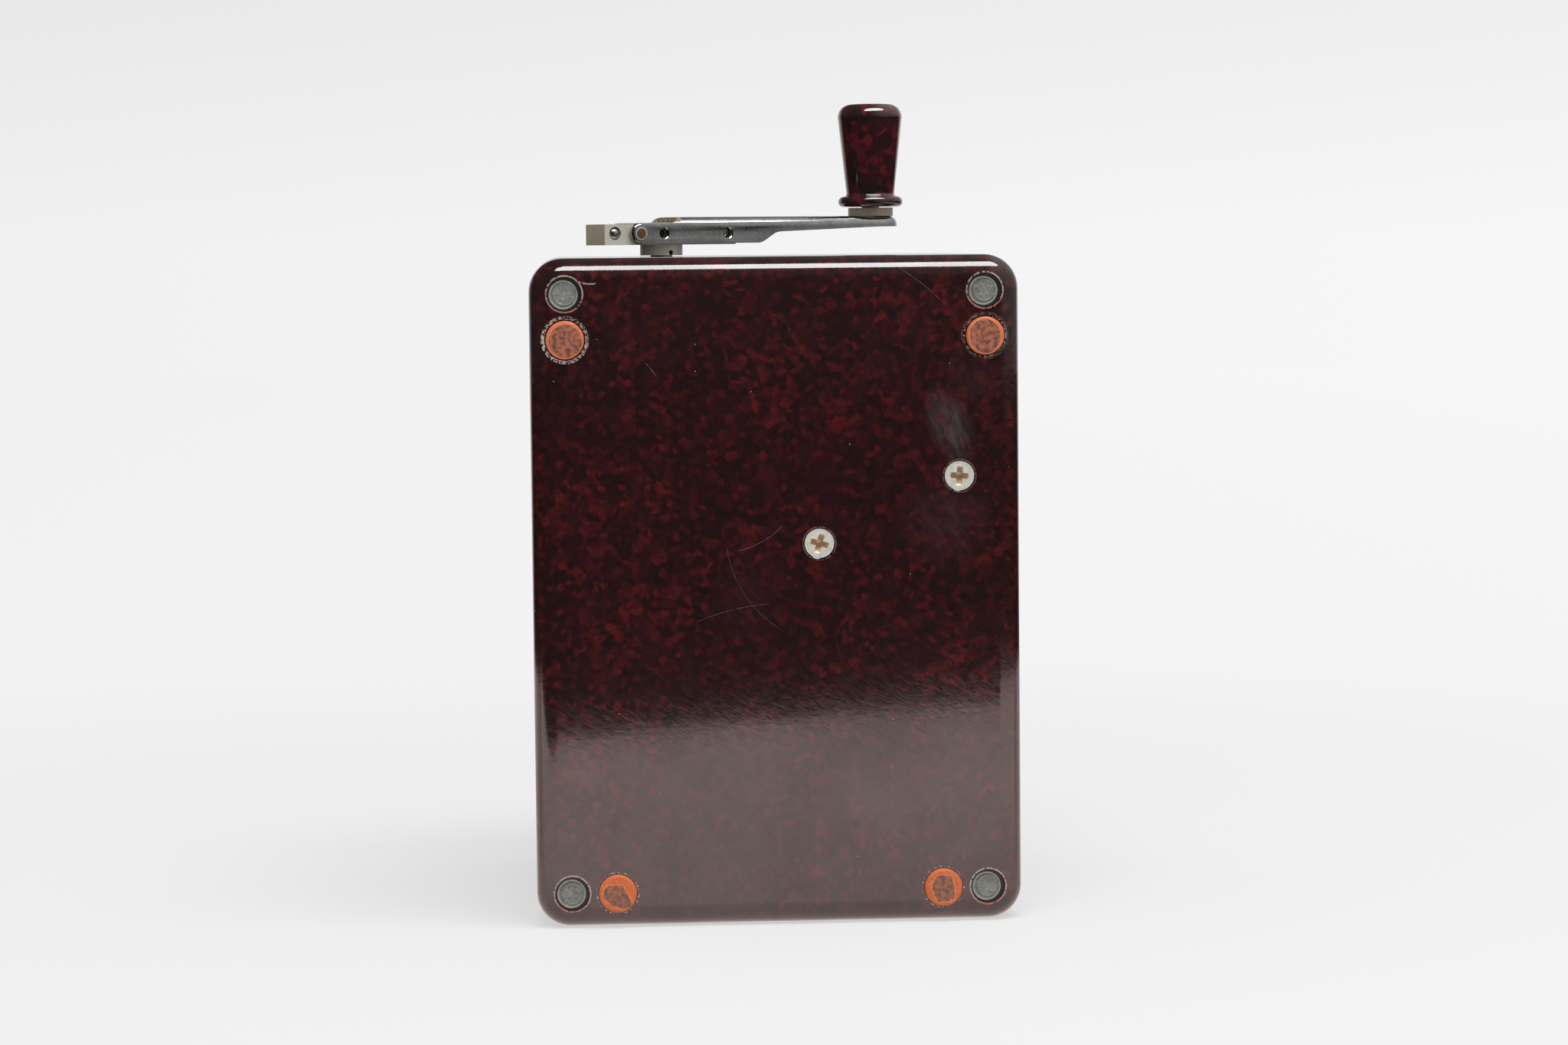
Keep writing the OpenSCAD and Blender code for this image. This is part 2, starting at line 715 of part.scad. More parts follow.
// Gear tooth form
pressure = 25;
addendum = 0.85;
dedendum = 1.15;
function tooth_half(r, rb, base_half) =
    r <= rb ? base_half : base_half - (tan(acos(rb / r)) * 180 / PI - acos(rb / r));
function gear_points(teeth) =
    let (rp = gear_m * teeth / 2, rb = rp * cos(pressure), ra = rp + addendum * gear_m,
        rr = rp - dedendum * gear_m, rm = max(rb, rr + 0.2 * gear_m),
        base_half = 90 / teeth - backlash / (2 * rp) * 180 / PI + tan(pressure) * 180 / PI - pressure,
        flank = [for (r = [rr, rm, rp, ra]) [r, tooth_half(r, rb, base_half)]],
        outline = concat([for (f = flank) [f[0], -f[1]]], [for (i = [3 : -1 : 0]) flank[i]]))
    [for (t = [0 : teeth - 1], f = outline)
        f[0] * [cos(360 * t / teeth + f[1]), sin(360 * t / teeth + f[1])]];

// Toothed blank with a bore, turned so that a tooth stands at the given angle
module gear(place, teeth, turn, z0, z1, bore) {
    translate([place[0], place[1], z0]) linear_extrude(z1 - z0) difference() {
        rotate(turn) polygon(gear_points(teeth));
        circle(d = bore);
    }
}

gear_side = 1.5;
gear_lift = 2.5;
pinion_drop = 1;
drive_gear_drop = 2;
shaft_tail = 1.5;
lay_gear_z = gear_plate_top + gear_lift;
rotor_pinion_z = lay_gear_z - pinion_drop;
lay_gear_t = 4;
rotor_pinion_t = 6;
lay_pinion_z = lay_gear_z + lay_gear_t;
lay_pinion_top = bridge_z - gear_side;
drive_gear_t = 5;
drive_gear_z = bridge_z - drive_gear_drop - drive_gear_t;
key_fit = 0.01;
lay_holes = 6;
lay_hole_d = 10;
lay_hole_r = 17;

// Large gear on the crank shaft
module drive_gear() {
    color([0.75, 0.6, 0.3]) from_back()
        gear(shaft_place, drive_teeth, mesh_a_turn,
            drive_gear_z, drive_gear_z + drive_gear_t, shaft_d + 2 * key_fit);
}

// Large gear on the intermediate shaft, with lightening holes
module lay_gear() {
    color([0.75, 0.6, 0.3]) from_back() difference() {
        gear(lay_place, lay_teeth, mesh_b_turn,
            lay_gear_z, lay_gear_z + lay_gear_t, inner_shaft_d + 2 * key_fit);
        for (i = [1 : lay_holes]) {
            a = 360 * i / lay_holes;
            rod_z(lay_place + lay_hole_r * [cos(a), sin(a)],
                lay_gear_z - cut, lay_gear_z + lay_gear_t + cut, lay_hole_d);
        }
    }
}

half_pitch = 180 / pinion_teeth;

// Pinion driven by the crank's gear
module lay_pinion() {
    color([0.68, 0.68, 0.68]) from_back() gear(lay_place, pinion_teeth, mesh_a_turn + 180 + half_pitch,
        lay_pinion_z, lay_pinion_top, inner_shaft_d + 2 * key_fit);
}

// Pinion on the rotor
module rotor_pinion() {
    color([0.68, 0.68, 0.68]) from_back() gear(rotor_place, pinion_teeth, mesh_b_turn + 180 + half_pitch,
        rotor_pinion_z, rotor_pinion_z + rotor_pinion_t, inner_shaft_d + 2 * key_fit);
}

// Intermediate shaft
module lay_shaft() {
    color([0.75, 0.75, 0.75]) from_back() rod_z(lay_place, gear_plate_z, bridge_top, inner_shaft_d);
}

magnet_over = 2;

// Rotor shaft
module rotor_shaft() {
    color([0.75, 0.75, 0.75]) from_back()
        rod_z(rotor_place, frame_z - shaft_tail, rotor_pinion_z + rotor_pinion_t + shaft_tail,
            inner_shaft_d);
}

// Cylindrical rotor magnet
module rotor_magnet() {
    color([0.3, 0.3, 0.33]) from_back() difference() {
        rod_z(rotor_place, core_z - magnet_over, core_z + core_h + magnet_over, rotor_d);
        rod_z(rotor_place, core_z - magnet_over - cut, core_z + core_h + magnet_over + cut,
            inner_shaft_d + 2 * key_fit);
    }
}

hub_z0 = case_h + collar_h;
hub_z1 = hub_z0 + hub_h;
arm_lift = 0.3;
pin_z = hub_z1 - arm_end_r + arm_lift;
flange_z0 = pin_z - arm_end_r;
web_z0 = pin_z + arm_end_r;
web_z1 = web_z0 + arm_t;
arm_in = hub_w / 2 + arm_gap;
arm_out = arm_in + arm_t;
shaft_bottom = drive_gear_z - shaft_tail;
shaft_sink = 0.3;
shaft_top = hub_z1 - shaft_sink;
grub_d = 1.3;
grub_rise = 0.95;
grub_sink = 0.5;
grub_socket = 0.8;
grub_z = case_h + grub_rise;

// Puts a shape drawn along the crank, from the shaft's axis, where the crank stands at rest
module on_crank() {
    from_back() translate([shaft_x, shaft_from_back, 0]) rotate(crank_turn) children();
}

// Rod across the crank at a distance from the shaft
module cross_rod(u, z, v0, v1, d) {
    translate([u, v0, z]) rotate([-90, 0, 0]) cylinder(h = v1 - v0, d = d);
}

// Hub block with its collar, bored for the shaft, the fold pin and the detent balls
module crank_hub() {
    color([0.66, 0.64, 0.58]) on_crank() difference() {
        union() {
            translate([-hub_l / 2, -hub_w / 2, hub_z0]) cube([hub_l, hub_w, hub_h]);
            rod_z([0, 0], case_h + end_gap, hub_z0 + cut, collar_d);
        }
        rod_z([0, 0], case_h, hub_z1 + cut, shaft_d + 2 * key_fit);
        cross_rod(-pin_offset, pin_z, -hub_w, hub_w, pin_d + 2 * run_fit);
        for (u = [-ball_offset, ball_offset]) cross_rod(u, pin_z, -hub_w, hub_w, ball_d + 2 * run_fit);
        cross_rod(0, grub_z, -collar_d, 0, grub_d + 2 * tap_play);
    }
}

// Crank shaft from the drive gear up into the hub
module crank_shaft() {
    color([0.75, 0.75, 0.75]) on_crank() rod_z([0, 0], shaft_bottom, shaft_top, shaft_d);
}

// Grub screw that holds the hub on the shaft
module hub_grub_screw() {
    color([0.3, 0.3, 0.3]) on_crank() difference() {
        cross_rod(0, grub_z, grub_sink - collar_d / 2, -shaft_d / 2 - fit, grub_d);
        cross_rod(0, grub_z, -collar_d / 2, grub_sink + grub_socket - collar_d / 2, grub_d / 2);
    }
}

ball_v = hub_w / 2 + ball_out - ball_d / 2;

// Four steel balls that click into the arm
module detent_balls() {
    color([0.8, 0.8, 0.8]) on_crank() for (u = [-ball_offset, ball_offset], s = [-1, 1])
        translate([u, s * ball_v, pin_z]) sphere(d = ball_d);
}

spring_wire = 0.5;
spring_d = ball_d - 2 * fit;
spring_seat = spring_d / 2 - spring_wire;
spring_half = ball_v - sqrt(ball_d * ball_d / 4 - spring_seat * spring_seat) - fit;

// Springs that press the balls outwards, one behind each pair
module detent_springs() {
    color([0.6, 0.6, 0.6]) on_crank() for (u = [-ball_offset, ball_offset]) difference() {
        cross_rod(u, pin_z, -spring_half, spring_half, spring_d);
        cross_rod(u, pin_z, -hub_w, hub_w, 2 * spring_seat);
    }
}

circlip_t = 1;
circlip_d = 9;

// Spring ring that keeps the shaft in its bush
module shaft_circlip() {
    color([0.35, 0.35, 0.35]) on_crank() difference() {
        rod_z([0, 0], bush_bottom - end_gap - circlip_t, bush_bottom - end_gap, circlip_d);
        rod_z([0, 0], bush_bottom - 2 * circlip_t - cut, bush_bottom, shaft_d + 2 * key_fit);
    }
}

sweep_steps = 8;
shallow_z = web_z1 - shallow_h;
tip_z = web_z1 - tip_h;
web_ramp = 2.2;
ramp_steps = 6;

// Height along an S curve from one level to another, at a share of its length
function s_curve(from, to, share) = from + (to - from) * (1 - cos(180 * share)) / 2;

// Side view of the arm: round end at the pin, deep flange, S curve, shallow flange to the knob
module arm_side() {
    translate([-pin_offset, pin_z]) circle(arm_end_r);
    polygon(concat(
        [[-pin_offset, flange_z0]],
        [for (i = [0 : sweep_steps]) [deep_end + sweep_l * i / sweep_steps,
            s_curve(flange_z0, shallow_z, i / sweep_steps)]],
        [[crank_r, tip_z], [crank_r, web_z1]],
        [for (i = [0 : ramp_steps]) [web_start - web_ramp * i / ramp_steps,
            s_curve(web_z1, web_z0, i / ramp_steps)]],
        [[-pin_offset, web_z0]]));
}

// Half of the channel's section: flange and half web with the bent corner
module arm_half_section(z0) {
    translate([arm_in, z0]) square([arm_t, web_z1 - arm_bend - z0]);
    translate([0, web_z0]) square([arm_out - arm_bend, arm_t]);
    intersection() {
        difference() {
            translate([arm_out - arm_bend, web_z1 - arm_bend]) circle(arm_bend);
            translate([arm_out - arm_bend, web_z1 - arm_bend]) circle(arm_bend - arm_t);
        }
        translate([arm_out - arm_bend, web_z1 - arm_bend]) square(arm_bend);
    }
}

// Sharp outer corner of the round end, left over outside its rounding
module arm_end_corner() {
    difference() {
        translate([arm_end_r - arm_end_round, arm_out - arm_end_round]) square(arm_end_round + cut);
        translate([arm_end_r - arm_end_round, arm_out - arm_end_round]) circle(arm_end_round);
    }
}

axle_head_d = 8;
axle_head_h = 0.8;
knob_z0 = web_z1 + axle_bush_h + end_gap;
knob_sink_d = 9;
knob_sink = 3;
knob_seat = knob_z0 + knob_h - knob_sink;
axle_cap_h = 1.8;
axle_top = knob_seat + end_gap + axle_cap_h;

// Pressed channel arm with the detent holes and the flange wrapped round the knob end
module crank_arm() {
    color([0.78, 0.79, 0.8]) on_crank() difference() {
        union() {
            intersection() {
                translate([-hub_l, 0, 0]) rotate([90, 0, 90]) linear_extrude(hub_l + crank_r) {
                    arm_half_section(flange_z0);
                    mirror([1, 0]) arm_half_section(flange_z0);
                }
                translate([0, arm_out + cut, 0]) rotate([90, 0, 0])
                    linear_extrude(2 * arm_out + 2 * cut) arm_side();
            }
            translate([crank_r, 0, 0]) rotate(-90) rotate_extrude(angle = 180) arm_half_section(tip_z);
        }
        translate([-hub_l, -arm_in, flange_z0]) cube([hub_l + web_start, 2 * arm_in, 2 * arm_out]);
        cross_rod(-pin_offset, pin_z, -2 * arm_out, 2 * arm_out, pin_d + 2 * key_fit);
        for (u = [-2 * pin_offset + ball_offset, ball_offset])
            for (side = [0, 1]) mirror([0, side, 0]) {
                cross_rod(u, pin_z, -cut, 2 * arm_out, detent_hole);
                translate([u, arm_out - detent_lead, pin_z]) rotate([-90, 0, 0])
                    cylinder(h = 2 * detent_lead, d1 = detent_hole, d2 = detent_hole + 4 * detent_lead);
            }
        for (side = [0, 1]) mirror([0, side, 0]) translate([-pin_offset, 0, pin_z]) rotate([-90, 0, 0])
            rotate(90) rotate_extrude(angle = 180) arm_end_corner();
        rod_z([crank_r, 0], web_z0 - cut, web_z1 + cut, axle_d + 2 * key_fit);
    }
}

pin_out = 0.15;

// Pin on which the arm folds, riveted in the arm
module pivot_pin() {
    color([0.66, 0.46, 0.34]) on_crank()
        cross_rod(-pin_offset, pin_z, -arm_out - pin_out, arm_out + pin_out, pin_d);
}

// Axle of the knob, riveted through the arm's web, with a slotted head sunk in the knob's top
module knob_axle() {
    color([0.7, 0.7, 0.7]) on_crank() difference() {
        union() {
            rod_z([crank_r, 0], web_z0 - axle_head_h, web_z0, axle_head_d);
            rod_z([crank_r, 0], web_z0 - axle_head_h, axle_top, axle_d);
            rod_z([crank_r, 0], knob_seat + end_gap, axle_top, axle_head_d);
        }
        translate([crank_r - axle_head_d, -slot_w / 2, axle_top - slot_depth])
            cube([2 * axle_head_d, slot_w, slot_depth + cut]);
    }
}

// Spacer bush between the arm and the knob
module axle_bush() {
    color([0.45, 0.44, 0.4]) on_crank() difference() {
        rod_z([crank_r, 0], web_z1, web_z1 + axle_bush_h, axle_bush_d);
        rod_z([crank_r, 0], web_z1 - cut, knob_z0 + cut, axle_d + 2 * key_fit);
    }
}

knob_fillet = 0.9;

// Half outline of the knob: bead at the foot, waist, flare and rounded top
module knob_section() {
    ring_r = knob_ring_h / 2;
    top = knob_h - knob_top_r;
    translate([knob_ring_d / 2 - ring_r, ring_r]) circle(ring_r);
    square([knob_ring_d / 2 - ring_r, knob_ring_h]);
    translate([0, knob_ring_h]) difference() {
        square([knob_waist_d / 2 + knob_fillet, knob_fillet]);
        translate([knob_waist_d / 2 + knob_fillet, knob_fillet]) circle(knob_fillet);
    }
    polygon([[0, knob_ring_h], [knob_waist_d / 2, knob_ring_h + knob_fillet],
        [knob_top_d / 2, top], [0, top]]);
    square([knob_waist_d / 2, knob_ring_h + knob_fillet]);
    square([knob_top_d / 2 - knob_top_r, knob_h]);
    intersection() {
        translate([knob_top_d / 2 - knob_top_r, top]) circle(knob_top_r);
        translate([knob_top_d / 2 - knob_top_r, top]) square(knob_top_r);
    }
}

// Moulded knob that turns on its axle
module crank_knob() {
    color([0.3, 0.05, 0.06]) on_crank() translate([crank_r, 0, 0]) difference() {
        translate([0, 0, knob_z0]) rotate_extrude() knob_section();
        rod_z([0, 0], knob_z0 - cut, axle_top + knob_h, axle_d + 2 * run_fit);
        rod_z([0, 0], knob_seat, axle_top + knob_h, knob_sink_d);
    }
}

meter_plate_back = meter_plate_front - meter_plate_t;
meter_place = [meter_x, meter_z];
meter_plate_margin = 5;
meter_plate_x = [meter_post_x[0] - meter_plate_margin, meter_post_x[1] + meter_plate_margin];
meter_plate_z = [meter_post_z[0] - meter_plate_margin, meter_post_z[1] + meter_plate_margin];
movement_hole_d = 24;
movement_boss_d = 5.4;
movement_boss_h = 4;
movement_front = meter_plate_back - movement_boss_h;
movement_t = 16;
movement_back = movement_front - movement_t;
movement_fix_r = 13.3;
movement_fix = [for (a = [40, 140, 220, 320]) meter_place + movement_fix_r * [cos(a), sin(a)]];
m2 = 2.5;
m2_head_d = 4.5;
m2_head_h = 1.5;
meter_screw_l = 8;
dial_t = 0.8;
dial_clear = 6;
dial_lap = 2;
dial_screw_inset = 4;
dial_screw_rise = 30;
dial_head_h = 1;
dial_x = [meter_x + dial_clear, window_x + window_w / 2 + dial_lap];
dial_z = [meter_z - window_h / 2 - dial_lap, meter_z + window_h / 2 + dial_lap];
dial_screw_places = [for (side = [-1, 1]) [dial_x[0] + dial_screw_inset, meter_z + side * dial_screw_rise]];

// Rectangle given by its two corners across and up
module span(x, z) {
    translate([x[0], z[0]]) square([x[1] - x[0], z[1] - z[0]]);
}

// Plate behind the panel that carries the meter movement and the dial
module meter_frame() {
    color([0.3, 0.3, 0.32]) from_back() difference() {
        union() {
            depth(meter_plate_back, meter_plate_front) span(meter_plate_x, meter_plate_z);
            for (p = movement_fix) rod_y(p, movement_front, meter_plate_front - cut, movement_boss_d);
        }
        rod_y(meter_place, movement_front, meter_plate_front + cut, movement_hole_d - movement_boss_d);
        for (p = movement_fix) rod_y(p, movement_front - cut, meter_plate_front + cut, m2 + 2 * tap_play);
        for (p = meter_posts) rod_y(p, meter_plate_back - cut, meter_plate_front + cut, m3 + 4 * fit);
        for (p = dial_screw_places)
            rod_y(p, meter_plate_back - cut, meter_plate_front + cut, m3 + 2 * tap_play);
    }
}

// Screws of the meter frame and of the dial
module meter_screws() {
    color([0.72, 0.72, 0.7]) from_back() {
        for (p = meter_posts) {
            rod_y(p, meter_plate_back - m3_head_h, meter_plate_back, m3_head_d);
            rod_y(p, meter_plate_back - m3_head_h, meter_plate_front + meter_screw_l - cut, m3);
        }
        for (p = dial_screw_places) {
            rod_y(p, meter_plate_front + dial_t, meter_plate_front + dial_t + dial_head_h, m3_head_d);
            rod_y(p, meter_plate_back, meter_plate_front + dial_t + dial_head_h, m3);
        }
    }
}

// Dial sheet behind the window
module dial_plate() {
    color([0.93, 0.92, 0.86]) from_back() depth(meter_plate_front, meter_plate_front + dial_t) difference() {
        span(dial_x, dial_z);
        for (p = dial_screw_places) translate(p) circle(d = m3 + 4 * fit);
    }
}

magnet_ring_t = 5;
pole_d = magnet_d - 2 * magnet_ring_t;
coil_room = 2.6;
pole_gap_turn = 60;

// Ring magnet of the meter
module meter_magnet() {
    color([0.35, 0.35, 0.38]) from_back() difference() {
        rod_y(meter_place, movement_back, movement_front, magnet_d);
        rod_y(meter_place, movement_back - cut, movement_front + cut, pole_d);
    }
}

// Two soft iron pole pieces inside the ring
module pole_pieces() {
    color([0.55, 0.55, 0.55]) from_back() depth(movement_back, movement_front) translate(meter_place) {
        for (s = [0, 180]) rotate(s) difference() {
            intersection() {
                circle(d = pole_d - 2 * seal_play);
                polygon([[0, 0], pole_d * [cos(pole_gap_turn), -sin(pole_gap_turn)],
                    pole_d * [cos(pole_gap_turn), sin(pole_gap_turn)]]);
            }
            circle(d = iron_core_d + 2 * coil_room);
            for (a = [-40, 40]) rotate(a) translate([movement_fix_r, 0]) circle(d = m2 + 4 * fit);
        }
    }
}

lug_w = 3;
lug_seat = 1.5;
lug_t = 4;
core_over = 1;

// Iron core between the poles, with seats for its lugs
module iron_core() {
    color([0.55, 0.55, 0.55]) from_back() difference() {
        rod_y(meter_place, movement_back + core_over, movement_front - core_over, iron_core_d);
        for (s = [-1, 1]) translate([meter_x - lug_w / 2, movement_back,
            meter_z + s * iron_core_d / 2 - (s > 0 ? lug_seat : cut)])
            cube([lug_w, movement_t, lug_seat + cut]);
    }
}

bridge_w = 8;
rear_bridge_rise = 6;
front_bridge_rise = 5;
rear_bridge_y = movement_back - rear_bridge_rise;
bridge_bar_t = 2.5;
bridge_half = magnet_d / 2;
bridge_foot = 4;
front_bridge_y = meter_plate_front + front_bridge_rise;
jewel_d = 3;

// Bar with two feet across the movement, from its bar's depth to the face its feet stand on
module jewel_bridge(bar_y, foot_y) {
    low = min(bar_y, foot_y);
    high = max(bar_y + bridge_bar_t, foot_y);
    difference() {
        union() {
            translate([meter_x - bridge_w / 2, bar_y, meter_z - bridge_half])
                cube([bridge_w, bridge_bar_t, 2 * bridge_half]);
            for (z = [meter_z - bridge_half, meter_z + bridge_half - bridge_foot])
                translate([meter_x - bridge_w / 2, low, z]) cube([bridge_w, high - low, bridge_foot]);
        }
        rod_y(meter_place, bar_y - cut, bar_y + bridge_bar_t + cut, jewel_d + 2 * tap_play);
    }
}

// Brass bridges of the two pivots, and the lugs that hold the iron core
module meter_bridges() {
    color([0.76, 0.62, 0.34]) from_back() {
        jewel_bridge(rear_bridge_y, movement_back);
        jewel_bridge(front_bridge_y, meter_plate_front);
        lug_l = (pole_d - iron_core_d) / 2 + lug_seat - fit;
        for (s = [-1, 1]) translate([meter_x - lug_w / 2, (movement_back + movement_front - lug_t) / 2,
            meter_z + s * (iron_core_d / 2 - lug_seat) - (s > 0 ? 0 : lug_l)]) cube([lug_w, lug_t, lug_l]);
    }
}

// Screws that hold the pole pieces to the meter frame
module movement_screws() {
    color([0.72, 0.72, 0.7]) from_back() for (p = movement_fix) {
        rod_y(p, movement_back - m2_head_h, movement_back, m2_head_d);
        rod_y(p, movement_back - m2_head_h, meter_plate_front, m2);
    }
}

jewel_l = 3.5;
spindle_d = 1.6;
coil_bar = 1.5;
coil_side_r = iron_core_d / 2 + coil_room / 2;
coil_over = 0.5;
jewel_head = 1;
coil_back = movement_back - coil_over;
coil_front = movement_front + coil_over;
coil_turns = [-25, 25];
coil_bar_w = 3;
jewel_gap = 0.2;
rear_tip = rear_bridge_y + jewel_l + jewel_gap;
front_tip = front_bridge_y + bridge_bar_t - jewel_l - jewel_gap;

// Adjustable jewel screws of the two pivots
module jewel_screws() {
    color([0.7, 0.7, 0.72]) from_back() {
        rod_y(meter_place, rear_bridge_y - jewel_head, rear_bridge_y + jewel_l, jewel_d);
        rod_y(meter_place, front_bridge_y + bridge_bar_t - jewel_l,
            front_bridge_y + bridge_bar_t + jewel_head, jewel_d);
    }
}

// Two crossed coils that turn round the iron core
module moving_coils() {
    color([0.6, 0.3, 0.15]) from_back() for (turn = coil_turns)
        translate([meter_x, 0, meter_z]) rotate([0, turn, 0]) {
        out = coil_side_r + coil_bar / 2;
        for (s = [-1, 1]) translate([s * coil_side_r - coil_bar / 2, coil_back, -coil_bar_w / 2])
            cube([coil_bar, coil_front - coil_back, coil_bar_w]);
        for (y = [coil_back - coil_bar, coil_front]) translate([-out, y, -coil_bar_w / 2])
            cube([2 * out, coil_bar, coil_bar_w]);
    }
}

// Two half spindles on the ends of the coils
module spindle() {
    color([0.75, 0.75, 0.75]) from_back() {
        rod_y(meter_place, rear_tip, coil_back - coil_bar, spindle_d);
        rod_y(meter_place, coil_front + coil_bar, front_tip, spindle_d);
    }
}

pointer_t = 0.6;
pointer_lift = 1.4;
pointer_y = meter_plate_front + dial_t + pointer_lift;
pointer_hub_d = 5;
tail_l = 12;
weight_d = 6;
pointer_root_w = 1.8;
pointer_tip_w = 0.6;

// Pointer with its tail weight
module pointer() {
    color([0.1, 0.1, 0.1]) from_back() depth(pointer_y, pointer_y + pointer_t)
        translate(meter_place) difference() {
        union() {
            circle(d = pointer_hub_d);
            polygon([[-tail_l, -pointer_root_w / 2], [0, -pointer_root_w / 2],
                [pointer_l, -pointer_tip_w / 2], [pointer_l, pointer_tip_w / 2],
                [0, pointer_root_w / 2], [-tail_l, pointer_root_w / 2]]);
            translate([-tail_l, 0]) circle(d = weight_d);
        }
        circle(d = spindle_d + 2 * key_fit);
    }
}

post_flange_d = 12;
post_flange_h = 1.5;
post_rise = 13;
board_sink = 24;
post_over = 1;
post_end = case_d + post_flange_h + post_rise;
board_front = panel_inner - board_sink;
board_t = 2;
board_back = board_front - board_t;
nut_h = 3.5;
nut_d = 8;
post_tail = board_back - nut_h - post_over;
board_spacer_wall = 1.5;

// Brass terminal posts with plug sockets, clamped through the panel
module terminal_posts() {
    color([0.8, 0.66, 0.36]) from_back() for (p = terminals) difference() {
        union() {
            rod_y(p, case_d, case_d + post_flange_h, post_flange_d);
            rod_y(p, case_d, post_end, post_d);
            rod_y(p, panel_inner, case_d + cut, post_shank_d);
            rod_y(p, post_tail, case_d, m4);
        }
        rod_y(p, post_end - socket_depth, post_end + cut, socket_d);
    }
}

// Hexagon nut on a terminal post's tail
module post_nut(p, y0) {
    difference() {
        translate([p[0], y0, p[1]]) rotate([-90, 0, 0]) cylinder(h = nut_h, d = nut_d, $fn = 6);
        rod_y(p, y0 - cut, y0 + nut_h + cut, m4 + 2 * tap_play);
    }
}

// Nuts under the panel and under the circuit board
module terminal_nuts() {
    color([0.75, 0.72, 0.6]) from_back() for (p = terminals) {
        post_nut(p, panel_inner - nut_h);
        post_nut(p, board_back - nut_h);
    }
}

// Tubes between the panel's nuts and the circuit board
module board_spacers() {
    color([0.75, 0.72, 0.6]) from_back() for (p = terminals) difference() {
        rod_y(p, board_front, panel_inner - nut_h, m4 + 2 * board_spacer_wall);
        rod_y(p, board_front - cut, panel_inner, m4 + 2 * fit);
    }
}

board_w = 72;
board_z = [10, 40];

// Board that carries the rectifier and the measuring resistors
module circuit_board() {
    color([0.42, 0.28, 0.12]) from_back() depth(board_back, board_front) difference() {
        span([-board_w / 2, board_w / 2], board_z);
        for (p = terminals) translate(p) circle(d = m4 + 4 * fit);
    }
}

capacitor_d = 11;
capacitor_l = 30;
capacitor_z = [16.5, 33];
rectifier_d = 2.8;
rectifier_l = 7;
rectifier_x = 32.5;
rectifier_z = [12, 28];
resistor_d = 2.4;
resistor_l = 7;
resistor_z = 24.75;
resistor_x = [-15, -5, 5, 15];

// Cylinder that runs across, lying on the back of the board
module on_board_x(x, z, l, d) {
    translate([x - l / 2, board_back - d / 2, z]) rotate([0, 90, 0]) cylinder(h = l, d = d);
}

// Two smoothing capacitors on the board
module capacitors() {
    color([0.62, 0.62, 0.6]) from_back() for (z = capacitor_z) on_board_x(0, z, capacitor_l, capacitor_d);
}

// Four rectifier cells on the board
module rectifiers() {
    color([0.2, 0.2, 0.2]) from_back() for (x = [-rectifier_x, rectifier_x], z = rectifier_z)
        translate([x, board_back - rectifier_d / 2, z]) cylinder(h = rectifier_l, d = rectifier_d);
}

// Measuring resistors on the board
module resistors() {
    color([0.5, 0.25, 0.2]) from_back() for (x = resistor_x)
        on_board_x(x, resistor_z, resistor_l, resistor_d);
}

wire_d = 1.6;
wire_inner = 2;
wire_outer = 8;
wire_turn_drop = 9;
wire_coil_x = [rotor_x - wire_inner, rotor_x + wire_outer];
wire_coil_y = core_back + leg_t / 2;
wire_turn_z = frame_z - wire_turn_drop;
wire_board_z = board_z[1] - wire_d;

// Straight wire from one point to another, with a round joint at its end
module wire_run(p, q) {
    run = q - p;
    translate(p) rotate([0, acos(run[2] / norm(run)), atan2(run[1], run[0])])
        cylinder(h = norm(run), d = wire_d);
    translate(q) sphere(d = wire_d);
}

// Two wires from the generator's coil to the circuit board
module hookup_wires() {
    color([0.75, 0.7, 0.55]) from_back() for (x = wire_coil_x) {
        wire_run([x, wire_coil_y, core_z - coil_t], [x, wire_coil_y, wire_turn_z]);
        wire_run([x, wire_coil_y, wire_turn_z], [x, board_back - wire_d / 2, wire_turn_z]);
        wire_run([x, board_back - wire_d / 2, wire_turn_z], [x, board_back - wire_d / 2, wire_board_z]);
    }
}

cap_gap = 0.5;
cap_flutes = 12;
cap_flute_d = 2.4;
cap_skirt = 2;

// Fluted screw cap of a terminal
module terminal_cap(p) {
    y0 = case_d + post_flange_h + cap_gap;
    difference() {
        rod_y(p, y0, y0 + cap_h, cap_d);
        rod_y(p, y0 - cut, y0 + cap_h + cut, post_d + 2 * run_fit);
        for (i = [1 : cap_flutes]) {
            a = 360 * i / cap_flutes;
            rod_y(p + cap_d / 2 * [cos(a), sin(a)], y0 + cap_skirt, y0 + cap_h + cut, cap_flute_d);
        }
    }
}

// Cap of the line terminal
module terminal_cap_line() {
    color([0.55, 0.1, 0.08]) from_back() terminal_cap(terminals[0]);
}

// Cap of the earth terminal
module terminal_cap_earth() {
    color([0.12, 0.12, 0.12]) from_back() terminal_cap(terminals[1]);
}

case_tub();
front_panel();
panel_pillars();
case_screws();
seal_plugs();
rubber_feet();
frame_screws();
crank_bush();
generator_frame();
core_screws();
core_spacers();
stator_core();
stator_coil();
gear_plate();
gear_bridge();
bridge_pillars();
gear_screws();
shaft_bushes();
meter_frame();
meter_screws();
dial_plate();
meter_magnet();
pole_pieces();
iron_core();
meter_bridges();
movement_screws();
jewel_screws();
window_glass();
glass_frame();
terminal_posts();
terminal_nuts();
board_spacers();
circuit_board();
capacitors();
rectifiers();
resistors();
hookup_wires();
crank_hub();
crank_shaft();
hub_grub_screw();
detent_balls();
detent_springs();
shaft_circlip();
drive_gear();
crank_arm();
pivot_pin();
knob_axle();
axle_bush();
crank_knob();
lay_shaft();
lay_pinion();
lay_gear();
rotor_shaft();
rotor_magnet();
rotor_pinion();
moving_coils();
spindle();
pointer();
terminal_cap_line();
terminal_cap_earth();
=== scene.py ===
import math

